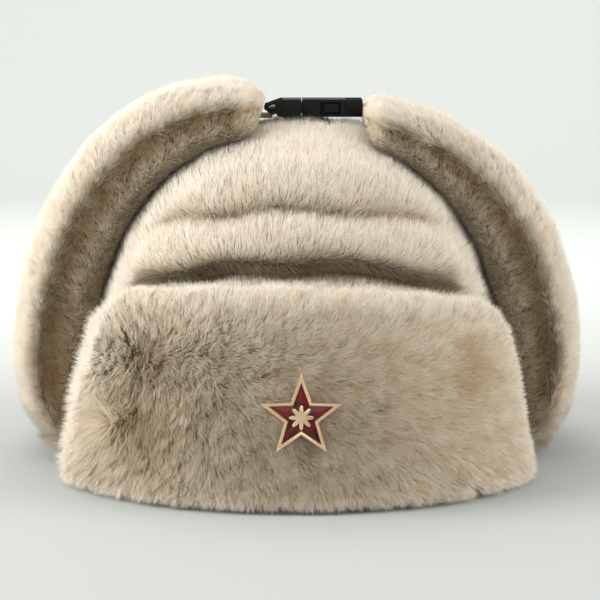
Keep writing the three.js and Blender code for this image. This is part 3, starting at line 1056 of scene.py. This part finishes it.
@dataclass
class SoftPiece:
    """A padded piece of plush: a backing that replaces a solid, and the pile that stands on it.

    Attributes:
        node: The solid that it replaces.
        dome: The smooth crown.
        pile: The pile's cut.
        blades: How many blades it has.
        seed: Seed of its pile.
        fill: How firmly it is stuffed, from 0 to 1. Not used.
    """

    node: str
    dome: Dome
    pile: Pile
    blades: int
    seed: int
    fill: float = 0.6

    def form(self) -> Grid:
        """Work out the outer form.

        Returns:
            The form, with its pile's ways, weights, lengths, and how much darker and browner its pile is
            painted for shade and for tone.
        """
        raise NotImplementedError

    def build(self, finishes: dict[str, bpy.types.Material]) -> None:
        """Args:
            finishes: The materials by name.
        """
        grid = self.form()
        backing = new_object(f"{self.node}_backing", closed_mesh(f"{self.node}_backing", grid))
        self.dress(backing, finishes)
        roots = scatter(grid, self.blades, np.random.default_rng(self.seed))
        pile = grow(f"{self.node}_pile", roots, self.pile, self.seed)
        pile.data.materials.append(finishes["acrylic_pile"])
        for piece in (backing, pile):
            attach(piece, BODY)
            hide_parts(self.node)
        log.info("%s: %d faces of backing, %d blades", self.node, len(backing.data.polygons), self.blades)

    def dress(self, backing: bpy.types.Object, finishes: dict[str, bpy.types.Material]) -> None:
        """Give the backing its material."""
        backing.data.materials.append(finishes["knit_backing"])


@dataclass
class Roll:
    """A roll across the front of the crown, in shares.

    Attributes:
        low: Where it starts, as a share of the crown's height.
        high: Where it ends.
        bulge: How far it stands in front of the smooth crown, as a share of the rolls' depth.
        below: How deep the crease under it is, as a share of a full crease.
        above: The same, for the crease over it.
        reach: Share of the half breadth where it has ended.
    """

    low: float
    high: float
    bulge: float
    below: float
    above: float
    reach: float


@dataclass
class Crown(SoftPiece):
    """The crown: an open dome with a rolled hem, rolls and creases across its front, and a lining.

    Attributes:
        wall: Thickness of the wall in mm.
        hem: Rounding of the hem in mm.
        roll_depth: Scale of the rolls and of the creases between them in mm.
        crease: How far a crease lies behind the smooth crown, as a share of that.
        droop: How much lower a roll runs at the sides, as a share of the crown's height.
        waver: How unevenly it runs, as a share of the crown's height.
        rolls: The rolls, from low to high.
        flaps: The two ear flaps, under which no pile shows.
        front_cover: Height in mm below which the front flap hides the wall, and above which it doesn't.
        front_turn: Degrees from the front within which it does.
        neck_cover: The same heights for the neck flap.
        neck_turn: Degrees from the front beyond which it does.
    """

    wall: float = 18.0
    hem: float = 8.0
    roll_depth: float = 12.0
    crease: float = 1.0
    droop: float = 0.13
    waver: float = 0.006
    rolls: tuple[Roll, ...] = (
        Roll(0.48, 0.61, 0.0, 1.0, 1.0, 0.86),
        Roll(0.61, 0.77, 0.6, 1.0, 0.4, 0.8),
        Roll(0.77, 0.97, 0.35, 0.4, 0.0, 0.82),
    )
    flaps: tuple["EarFlap", ...] = ()
    front_cover: tuple[float, float] = (76.0, 88.0)
    front_turn: float = 47.0
    neck_cover: tuple[float, float] = (104.0, 118.0)
    neck_turn: float = 130.0

    def roll_at(self, angle: np.ndarray, z: np.ndarray) -> tuple[np.ndarray, np.ndarray]:
        """Work out the rolls: half rounds of the bulge, with a crease under and over each.

        Args:
            angle: Angles from the front.
            z: Heights in mm.

        Returns:
            How far the wall moves outwards in mm, and how far the place is in a crease or on the low half of
            a roll (0 to 1), where shade falls and is painted.
        """
        r = self.dome.wall_radius(angle, z)
        front = smooth(np.cos(angle) * r / self.dome.half_length, 0.41, 0.56)
        side = np.abs(np.sin(angle) * r) / self.dome.half_breadth
        x = np.sin(angle) * r
        level = z / self.dome.height + self.droop * side**2 + self.waver * np.sin(x / 9.0 + z / 7.0)
        out = np.zeros_like(level)
        crease = np.zeros_like(level)
        for roll in self.rolls:
            s = 2 * (level - roll.low) / (roll.high - roll.low) - 1
            inside = np.abs(s) < 1
            around = np.sqrt(np.clip(1 - s * s, 0, 1))
            fade = front * (1 - smooth(side, roll.reach * 0.82, roll.reach))
            notch = np.where(s < 0, roll.below, roll.above) * (1 - around)
            end = front * around * roll.bulge * np.exp(-(((side - roll.reach) / 0.03) ** 2))
            lift = self.roll_depth * (roll.bulge * around - self.crease * notch)
            out = np.where(inside, fade * lift - 0.4 * self.roll_depth * end, out)
            # Where shade falls: deep in the creases and on the low half of each roll; this mask is painted as
            # shade.
            shade = np.maximum(notch**1.5, 0.4 * roll.below * np.clip(-s, 0, 1) ** 2)
            crease = np.where(inside, fade * shade + 0.3 * end, crease)
        return out, crease

    def form(self) -> Grid:
        """Carry the profile round: the dome from its top, the hem, and the lining up to its top.

        Returns:
            The outer form.
        """
        columns, outer, hem_steps, inner = 144, 120, 7, 28
        angle = (np.arange(columns) * 2 * math.pi / columns)[None, :]
        q = self.dome.dome_power
        turn = np.linspace(math.pi / 2, 0, outer + 1)[:-1, None]
        z = self.hem + (self.dome.height - self.hem) * np.sin(turn) ** (2 / q)
        out, crease = self.roll_at(angle, z)
        r = self.dome.wall_radius(angle, z) + out
        r[0] = 0
        bend = np.linspace(0, math.pi / 2, hem_steps)[:, None]
        hem_z = self.hem * (1 - np.sin(bend))
        hem_r = self.dome.plan_radius(angle) - self.hem * (1 - np.cos(bend))
        back = np.linspace(0, math.pi / 2, inner + 1)[:, None]
        lining = self.dome.plan_radius(angle, self.wall)
        back_z = self.hem * 0.5 + (self.dome.height - self.wall - self.hem * 0.5) * np.sin(back) ** (2 / q)
        back_r = lining * np.cos(back) ** (2 / q)
        lip = self.dome.plan_radius(angle, self.wall - self.hem * 0.5)
        ones = np.ones_like(angle)
        zs = np.concatenate([z * ones, hem_z * ones, 0 * lip, back_z * ones])
        rs = np.concatenate([r, hem_r, lip, back_r])
        rs[-1] = 0
        points = np.stack([np.sin(angle) * rs, -np.cos(angle) * rs, zs], axis=-1)
        rows = len(zs)
        outside = np.arange(rows)[:, None] < outer + hem_steps
        crease = np.concatenate([crease, np.zeros((rows - outer, columns))])
        comb = np.broadcast_to([0.25, 0.5, 1.0], points.shape)
        shown = self.shown(points)
        depth = outside * (blend(1.0, 3.6, smooth(shown, 0.0, 0.6)) + 0.8 * crease)
        length = 1.0 - 0.15 * crease + 0.4 * self.near_strap(points)
        # Painted shade: the pile is painted darker and browner in the creases and under the rolls.
        return Grid(points, comb, outside * shown, length, depth, 0.6 * crease)

    def near_strap(self, points: np.ndarray) -> np.ndarray:
        """Tell how near places are to the end of the right strap, on top of the crown."""
        return smooth(points[..., 2] / self.dome.height, 0.93, 0.985) * smooth(points[..., 0], 14, 28)

    def shown(self, points: np.ndarray) -> np.ndarray:
        """Tell where the wall shows: not under the ear, front and neck flaps.

        Args:
            points: Places in mm.

        Returns:
            1 where it shows, 0 where it is hidden.
        """
        x, y, z = points[..., 0], points[..., 1], points[..., 2]
        angle = np.abs(np.arctan2(x, -y))
        low, high = self.front_cover
        hidden = smooth(-z, -high, -low) * (angle < math.radians(self.front_turn))
        low, high = self.neck_cover
        hidden = np.maximum(hidden, smooth(-z, -high, -low) * (angle > math.radians(self.neck_turn)))
        for flap in self.flaps:
            hidden = np.maximum(hidden, flap.covers(points))
        return 1 - hidden

    def dress(self, backing: bpy.types.Object, finishes: dict[str, bpy.types.Material]) -> None:
        """Give the wall its knit and the hollow its lining, by which way a face looks.

        Args:
            backing: The crown's backing.
            finishes: The materials by name.
        """
        for key in ("knit_backing", "twill_lining"):
            backing.data.materials.append(finishes[key])
        count = len(backing.data.polygons)
        middle = np.empty(count * 3)
        normal = np.empty(count * 3)
        backing.data.polygons.foreach_get("center", middle)
        backing.data.polygons.foreach_get("normal", normal)
        inwards = np.sum(middle.reshape(-1, 3) * normal.reshape(-1, 3), axis=1) < 0
        backing.data.polygons.foreach_set("material_index", inwards.astype(np.int32))


@dataclass(frozen=True)
class DarkPatch:
    """A patch where the pile is painted darker and browner, in mm.

    Attributes:
        x: Its middle, from side to side.
        z: The height of its middle.
        wide: Its reach to the sides.
        high: Its reach up and down.
        shade_and_dull: How much darker and browner its middle is painted.
    """

    x: float
    z: float
    wide: float
    high: float
    shade_and_dull: float

    def at(self, points: np.ndarray) -> np.ndarray:
        """Fade from the middle, as shade_and_dull times exp(-(dx / wide)^2 - (dz / high)^2)."""
        x, z = points[..., 0] - self.x, points[..., 2] - self.z
        return self.shade_and_dull * np.exp(-((x / self.wide) ** 2) - (z / self.high) ** 2)


@dataclass
class FrontFlap(SoftPiece):
    """The front flap: a padded band folded up against the front of the crown, in mm.

    Attributes:
        height: Its height.
        bottom_width: Its width along the hem.
        top_width: Its width at the top edge.
        shift: How far its top stands to the right.
        thick: Its thickness.
        corner: Radius of its upper corners.
        heel: Radius of its lower corners.
        swell: How much thicker its middle is, as a share.
        foot: How much thicker it is along the floor, as a share.
        sag: How much lower the top edge is at the ends.
        tilt: How much the top edge falls to the right, from its middle to its end.
        whorl: The place where the pile fans out: across, up, and its reach.
        face_shade: How much darker and browner the pile is painted away from the edges, as painted shade on
            the face, from 0 to 1.
        patches: Where it is painted darker and browner still.
    """

    height: float = 101.0
    bottom_width: float = 216.0
    top_width: float = 188.0
    shift: float = 3.0
    thick: float = 27.0
    corner: float = 17.0
    heel: float = 20.0
    swell: float = 0.06
    foot: float = 0.1
    sag: float = 10.0
    tilt: float = 3.0
    whorl: tuple[float, float, float] = (-74.0, 34.0, 14.0)
    face_shade: float = 0.14
    patches: tuple[DarkPatch, ...] = (
        DarkPatch(-74.0, 36.0, 14.0, 16.0, 0.2),
        DarkPatch(-71.0, 69.0, 8.0, 8.0, 0.2),
        DarkPatch(80.0, 64.0, 10.0, 16.0, 0.3),
    )

    def angle_of(self, width: float) -> float:
        """Solve for the angle from the front at which the flap is so wide.

        Args:
            width: Its width in mm.

        Returns:
            The angle in radians.
        """
        angle = 0.5
        for _ in range(30):
            reach = float(self.dome.plan_radius(np.array(angle))) + self.thick * 0.55
            angle = math.asin(min(width / 2 / reach, 1.0))
        return angle

    def face(self, u: np.ndarray, z: np.ndarray) -> np.ndarray:
        """Distance of the outer face from the crown at a share of the half width.

        Args:
            u: Share of the half width.
            z: Heights in mm.

        Returns:
            Distances in mm.
        """
        foot = self.foot * (1 - smooth(z, -1, self.thick * 0.8))
        swell = self.swell * (1 - u * u) * np.sin(np.clip(z / self.height, 0, 1) * math.pi)
        return self.thick * (1 + foot + swell)

    def cut(self, u: np.ndarray, radius: float) -> np.ndarray:
        """How much a rounded corner of the outline takes off at a share of the half width.

        Args:
            u: Share of the half width.
            radius: The corner's radius in mm.

        Returns:
            Lengths in mm.
        """
        share = 2 * radius / self.bottom_width
        corner = np.clip((np.abs(u) - 1 + share) / share, 0, 0.97)
        return radius * (1 - np.sqrt(1 - corner * corner))

    def form(self) -> Grid:
        """Carry the section from the left end to the right, rounded off at both ends.

        Returns:
            The outer form.
        """
        end_share = self.thick / self.bottom_width
        u, shrink = rounded_ends(90, end_share)
        top = self.height - self.sag * u * u - self.tilt * u - self.cut(u, self.corner)
        bottom = self.cut(u, self.heel)
        section = Section(self.thick * 0.28, self.thick * 0.45, 0.12)
        s, t, _ = section.points((top - bottom) / 2)
        z = (top + bottom) / 2 + s
        level = z / self.height
        angle = u * blend(self.angle_of(self.bottom_width), self.angle_of(self.top_width), level)
        angle = angle + self.shift / self.dome.half_length * level
        full = 0.5 + (t - 0.5) * shrink
        points = self.dome.beside(angle, z, full * self.face(u, z))
        comb = self.comb(u, angle, z, top - z)
        weight = smooth(t, 0.0, 0.2) * np.ones_like(z)
        # Painted shade: away from its ends, top edge and foot, the outer face is painted darker and browner
        # than its rims, and more in the patches.
        inside = smooth(1 - np.abs(u), 0.06, 0.24) * smooth(top - z, 6, 40) * smooth(z, 4, 16)
        shade_and_dull = self.face_shade + sum(patch.at(points) for patch in self.patches)
        shade_and_dull = np.clip(smooth(t, 0.6, 0.95) * inside * shade_and_dull, 0, 1)
        depth, length = lie(blend(0.5, 6.5, smooth(t, 0.05, 0.45)), self.thick * shrink + 0 * z)
        return Grid(points, comb, weight, length, depth, shade_and_dull)

    def comb(self, u: np.ndarray, angle: np.ndarray, z: np.ndarray, below: np.ndarray) -> np.ndarray:
        """Comb the pile.

        It heads 58 degrees down to the right at the left end and 8 degrees at the right, turns down
        towards the floor and up along the top edge. Round the whorl it fans out from its middle.

        Args:
            u: Share of the half width.
            angle: Angles from the front.
            z: Heights in mm.
            below: Distance under the top edge in mm.

        Returns:
            Vectors along the flap.
        """
        heading = blend(-58.0, -8.0, smooth(u, -0.85, 0.5)) * np.ones_like(z)
        heading = blend(heading, -74.0, 1 - smooth(z, 4, 42))
        heading = np.radians(blend(heading, 70.0, 1 - smooth(below, 6, 52)))
        across_whorl = np.sin(angle) * self.dome.half_length - self.whorl[0]
        above_whorl = z - self.whorl[1]
        size = np.hypot(across_whorl, above_whorl)
        fan = np.exp(-((size / self.whorl[2]) ** 2))
        flat = blend(np.cos(heading), across_whorl / np.maximum(size, 1), fan)
        rise = blend(np.sin(heading), above_whorl / np.maximum(size, 1), fan)
        return np.stack([np.cos(angle) * flat, np.sin(angle) * flat, rise], axis=-1)


@dataclass
class NeckFlap(SoftPiece):
    """The neck flap: a padded band folded up against the back of the crown, in mm.

    Attributes:
        height: Its height in the middle.
        rise: How much higher it is at the ends.
        thick: Its thickness.
        seam: Rounding of its low edge.
        foot: How much thinner it is along the floor, as a share.
        ear_back: Degrees from the side to its seam with the ear flap.
    """

    height: float = 124.0
    rise: float = 14.0
    thick: float = 34.0
    seam: float = 8.0
    foot: float = 0.45
    ear_back: float = 35.0

    def form(self) -> Grid:
        """Carry the section from one ear flap's seam to the other's.

        Returns:
            The outer form.
        """
        reach = math.radians(90 - self.ear_back) - 0.5 / (self.dome.half_breadth + self.thick)
        u, shrink = rounded_ends(84, 0.07)
        shrink = 0.45 + 0.55 * shrink
        top = self.height + self.rise * u * u
        section = Section(self.seam, self.thick * 0.5, 0.2)
        s, t, _ = section.points(top / 2)
        z = top / 2 + s
        foot = self.foot * (1 - smooth(z, -1, self.thick))
        full = (t * shrink + 0.5 * (1 - shrink)) * (1 - foot)
        angle = math.pi + u * reach + 0 * z
        points = self.dome.beside(angle, z, full * self.thick)
        comb = np.zeros_like(points)
        comb[..., 2] = 1
        comb[..., 0] = 0.3 * np.sin(angle * 3)
        weight = smooth(t, 0.0, 0.2) * np.ones_like(z)
        depth, length = lie(blend(0.5, 6.5, smooth(t, 0.05, 0.45)), self.thick * shrink + 0 * z)
        return Grid(points, comb, weight, length, depth, 0.1 + 0 * z)


@dataclass
class EarFlap(SoftPiece):
    """An ear flap: a padded lobe from the hem up the side and over the crown to the buckle, in mm.

    Attributes:
        side: Which side it is on.
        tip_x: Where its tip ends.
        thick: Its full thickness.
        front_angle: Degrees from the side to its front edge at the hem.
        back_angle: Degrees from the side to its seam with the neck flap.
        tip_breadth: Its size from front to back at the tip.
        cleft: Depth of the groove between its two layers, as a share of half its thickness.
        slope: How much further its front edge is rounded over the outer face than under it.
        corner: Radius of the corners at its tip.
        turns: Shares of the way from the hem to the tip at which the thickness is given.
        shares: The thickness there as a share of the full thickness.
    """

    side: Side = Side.LEFT
    tip_x: float = -17.0
    thick: float = 46.0
    front_angle: float = 10.0
    back_angle: float = 35.0
    tip_breadth: float = 92.0
    cleft: float = 0.34
    slope: float = 1.7
    corner: float = 11.0
    turns: tuple[float, ...] = (0.0, 0.04, 0.1, 0.2, 0.35, 0.52, 0.66, 0.8, 0.92, 1.0)
    shares: tuple[float, ...] = (0.28, 0.5, 0.74, 0.9, 1.0, 1.0, 0.92, 0.76, 0.58, 0.44)

    def last_turn(self) -> float:
        """Give the turn up from the hem at which the tip ends."""
        return math.atan2(self.dome.height, abs(self.tip_x))

    def edge(self, hem_angle: float, turn: np.ndarray) -> np.ndarray:
        """Swing of an edge: a plane through the axis, kept as wide as the tip higher up."""
        plane = np.arctan(math.tan(math.radians(hem_angle)) * np.cos(turn))
        return (plane**6 + (self.tip_breadth / 2 / self.dome.height) ** 6) ** (1 / 6)

    def covers(self, points: np.ndarray) -> np.ndarray:
        """Tell how surely the flap hides places on the crown, from 0 to 1.

        Args:
            points: Places in mm.

        Returns:
            1 where the flap hides them, 0 where it doesn't.
        """
        x, y, z = points[..., 0] * self.side.value, points[..., 1], points[..., 2]
        turn = np.arctan2(z, x)
        swing = np.arcsin(y / np.maximum(np.linalg.norm(points, axis=-1), 1e-6))
        margin = 0.2
        front = smooth(swing + self.edge(self.front_angle, turn), margin, margin + 0.06)
        back = smooth(self.edge(self.back_angle, turn) - swing, margin, margin + 0.06)
        high = smooth(self.last_turn() - turn, 0.03, 0.08)
        return front * back * high * (x > 0)

    def form(self) -> Grid:
        """Carry the section from the hem to the tip along unit vectors of turn and swing.

        Returns:
            The outer form.
        """
        stations, tip_start, tip_share = 84, 0.955, 0.045
        body = 1 - (1 - np.linspace(0, 1, stations)) ** 1.3
        tip = tip_start + tip_share * np.sin(np.linspace(0.2, math.pi / 2, 9))
        along = np.concatenate([body * tip_start, tip])[:, None]
        turn = blend(math.radians(1), self.last_turn(), along)
        shrink = np.sqrt(np.clip(1 - np.clip((along - tip_start) / tip_share, 0, 1) ** 2, 0, 1))
        full = self.thick * np.interp(along, self.turns, self.shares)
        back = self.edge(self.back_angle, turn)
        front = -self.edge(self.front_angle, turn)
        middle = (back + front) / 2
        radius = self.dome.radius(self.way(turn, middle)) + full / 2
        bend = np.clip((along - 0.94) / 0.06, 0, 0.97)
        half = radius * (back - front) / 2 - full * 0.5 * (1 - shrink)
        half = half - self.corner * (1 - np.sqrt(1 - bend * bend))
        free = smooth(turn, math.radians(38), math.radians(55))
        cleft = self.cleft * smooth(along, 0.02, 0.2)
        section = Section(full * 0.5, blend(8.0, full * 0.5, free), cleft, self.slope)
        s, t, groove = section.points(half)
        way = self.way(turn, middle + s / radius)
        out = (0.5 + (t - 0.5) * shrink) * full
        points = way * (self.dome.radius(way) + self.dome.gap + out)[..., None]
        comb = unit(np.gradient(points, axis=0)) + 1.3 * way + np.array([0.0, -0.2, 0.0])
        rim = 0.6 * smooth(-s - half, -14, -4)
        weight = np.maximum(smooth(t, 0.0, 0.08), rim)
        # Painted shade: the pile is painted darker and browner in the groove between the layers and on the
        # front edge next to the crown, which is partly a browner tone too; the right flap takes less.
        groove = groove * (s < 0) * smooth(along, 0.02, 0.2)
        inner = (s < 0) * (1 - smooth(t, 0.35, 0.55)) * blend(0.45, 0.08, smooth(along, 0.1, 0.5))
        shade_and_dull = np.clip(0.4 * groove**4 + inner * (0.4 if self.side is Side.RIGHT else 1.0), 0, 1)
        depth, length = lie(blend(0.5, 6.0, smooth(t, 0.05, 0.5)) + 3.0 * groove, full * shrink + 0 * s)
        length = length * blend(0.5, 1.0, smooth(t, 0.0, 0.5)) - 0.15 * groove
        return Grid(points, comb, weight, length, depth, shade_and_dull)

    def way(self, turn: np.ndarray, swing: np.ndarray) -> np.ndarray:
        """Unit vectors at a turn up from the hem and a swing towards the back, on this side.

        Args:
            turn: Turns up from the hem in radians.
            swing: Swings towards the back in radians.

        Returns:
            Unit vectors.
        """
        flat = np.cos(swing)
        x = self.side.value * np.cos(turn) * flat
        return np.stack([x, np.sin(swing), np.sin(turn) * flat], axis=-1)


# Hard pieces


@dataclass
class HardPiece:
    """A moulded or stamped solid whose form is kept, with its sharp edges broken.

    Attributes:
        node: The solid.
        edge: Radius of its broken edges in mm.
        finish: Its material.
        slot: The record's slot. Not used.
        angle: Edges that turn by more than this many degrees are broken.
    """

    node: str
    edge: float
    finish: str
    slot: str
    angle: float = 30.0

    def build(self, finishes: dict[str, bpy.types.Material]) -> None:
        """Copy the solid, merge it, break its edges and dress it.

        Args:
            finishes: The materials by name.
        """
        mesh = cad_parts[self.node].data.copy()
        mesh.name = f"{self.node}_finished"
        shell = bmesh.new()
        shell.from_mesh(mesh)
        bmesh.ops.remove_doubles(shell, verts=shell.verts, dist=0.005 * MM)
        bmesh.ops.dissolve_limit(shell, angle_limit=math.radians(1), verts=shell.verts, edges=shell.edges)
        shell.to_mesh(mesh)
        shell.free()
        mesh.materials.clear()
        mesh.materials.append(finishes[self.finish])
        mesh.shade_smooth()
        piece = new_object(f"{self.node}_finished", mesh)
        bevel = piece.modifiers.new("broken_edges", "BEVEL")
        bevel.width = self.edge * MM
        bevel.segments = 3
        bevel.limit_method = "ANGLE"
        bevel.angle_limit = math.radians(self.angle)
        bevel.harden_normals = True
        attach(piece, BODY)
        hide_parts(self.node)
        log.info("%s: edges broken by %.2f mm", self.node, self.edge)


# Studio


@dataclass(frozen=True)
class SoftLight:
    """A square soft light, in metres.

    Attributes:
        name: Its name.
        place: Where it hangs.
        size: Its side.
        watts: Its power.
        aim: What it faces.
    """

    name: str
    place: tuple[float, float, float]
    size: float
    watts: float
    aim: tuple[float, float, float] = (0.0, 0.0, 0.1)

    def hang(self) -> None:
        """Hang the light in the scene and turn it to what it faces."""
        data = bpy.data.lights.new(self.name, "AREA")
        data.shape = "SQUARE"
        data.size = self.size
        data.energy = self.watts
        lamp = bpy.data.objects.new(self.name, data)
        lamp.location = self.place
        lamp.rotation_euler = (Vector(self.aim) - Vector(self.place)).to_track_quat("-Z", "Y").to_euler()
        bpy.context.scene.collection.objects.link(lamp)


@dataclass
class Studio:
    """The floor and backdrop, the lights and the camera, in metres.

    Attributes:
        target: What the camera looks at.
        distance: The camera's distance from it.
        elevation: Degrees that the camera looks down.
        lens: Focal length in mm on a 36 mm sensor.
        lights: The soft lights.
    """

    target: tuple[float, float, float] = (0.0014, 0.0, 0.077)
    distance: float = 1.1
    elevation: float = 8.0
    lens: float = 130.5
    lights: tuple[SoftLight, ...] = (
        SoftLight("top_softbox", (-0.3, 0.5, 1.2), 1.0, 8.5),
        SoftLight("left_softbox", (-1.3, -0.4, 0.7), 1.0, 32.0),
        SoftLight("right_softbox", (1.3, -0.4, 0.7), 1.0, 21.0),
        SoftLight("backdrop_light", (0.0, 0.8, 1.3), 1.6, 38.0, (0.0, 2.2, 0.4)),
        SoftLight("front_fill", (-0.4, -1.7, 0.8), 1.0, 3.5),
    )

    def camera(self) -> None:
        """Place the camera in front, looking down at the target."""
        data = bpy.data.cameras.new("camera")
        data.lens = self.lens
        data.sensor_width = 36
        camera = bpy.data.objects.new("camera", data)
        rise = math.radians(self.elevation)
        away = Vector((0, -math.cos(rise), math.sin(rise))) * self.distance
        camera.location = Vector(self.target) + away
        camera.rotation_euler = (-away).to_track_quat("-Z", "Y").to_euler()
        bpy.context.scene.collection.objects.link(camera)
        bpy.context.scene.camera = camera

    def backdrop(self, finish: bpy.types.Material) -> None:
        """Turn a profile about Z: a floor out to 1.4 m that rises in a quarter round of 0.8 m.

        Args:
            finish: The paper's material.
        """
        turn = np.linspace(0, math.pi / 2, 32)
        r = np.concatenate([[0.05, 0.3, 0.8, 1.4], 1.4 + 0.8 * np.sin(turn)[1:]])[:, None]
        z = np.concatenate([[0.0] * 4, 0.8 - 0.8 * np.cos(turn)[1:]])[:, None]
        columns = 96
        angle = (np.arange(columns) * 2 * math.pi / columns)[None, :]
        points = np.stack([r * np.cos(angle), r * np.sin(angle), z + 0 * angle], axis=-1) / MM
        faces = [ring_quads(len(r), columns), np.arange(columns)[None, :]]
        mesh = mesh_from("backdrop", points.reshape(-1, 3), faces)
        mesh.materials.append(finish)
        new_object("backdrop", mesh)

    def build(self, finishes: dict[str, bpy.types.Material]) -> None:
        """Set up the studio.

        Args:
            finishes: The materials by name.
        """
        self.camera()
        self.backdrop(finishes["studio_paper"])
        for light in self.lights:
            light.hang()
        world = bpy.data.worlds.new("studio")
        world.use_nodes = True
        sky = world.node_tree.nodes["Background"]
        sky.inputs["Color"].default_value = linear("#f6f8f6")
        sky.inputs["Strength"].default_value = 0.7
        bpy.context.scene.world = world
        bpy.context.scene.view_settings.view_transform = "Standard"
        log.info("studio: camera at %.3f m, %.1f mm lens", self.distance, self.lens)


def main() -> None:
    """Build the finishes, the studio and every piece."""
    logging.basicConfig(level=logging.INFO, format="%(name)s: %(message)s")
    kinds = (AcrylicPile, KnitBacking, TwillLining, MouldedAcetal, GrosgrainTape, PolishedGilt)
    made = [kind() for kind in (*kinds, CastEnamel, StudioPaper)]
    finishes = {finish.name: finish.build() for finish in made}
    Studio().build(finishes)
    dome = Dome.from_frame()
    left = EarFlap("ear_flap_left", dome, Pile(), 175000, 11, side=Side.LEFT, tip_x=-17.0)
    right = EarFlap(
        "ear_flap_right",
        dome,
        Pile(),
        175000,
        12,
        side=Side.RIGHT,
        tip_x=33.0,
        shares=(0.28, 0.5, 0.72, 0.88, 0.98, 0.98, 0.86, 0.64, 0.46, 0.38),
    )
    crown_pile = Pile(
        length=7.6, lean=(30.0, 56.0), stray=16.0, clump=1.8, pull=0.3, even=0.2, loose=0.01, mottle=0.2
    )
    soft = (
        Crown("crown", dome, crown_pile, 180000, 13, flaps=(left, right)),
        FrontFlap("front_flap", dome, Pile(), 185000, 14),
        NeckFlap("neck_flap", dome, Pile(), 120000, 15),
        left,
        right,
    )
    hard = (
        HardPiece("buckle_plug", 0.35, "moulded_acetal", "acetal"),
        HardPiece("buckle_socket", 0.45, "moulded_acetal", "acetal"),
        HardPiece("strap_left", 0.12, "grosgrain_tape", "tape"),
        HardPiece("strap_right", 0.12, "grosgrain_tape", "tape"),
        HardPiece("badge_star", 0.14, "polished_gilt", "gilt"),
        HardPiece("badge_enamel", 0.1, "cast_enamel", "enamel", angle=12.0),
    )
    for piece in (*soft, *hard):
        piece.build(finishes)


if __name__ == "__main__":
    main()
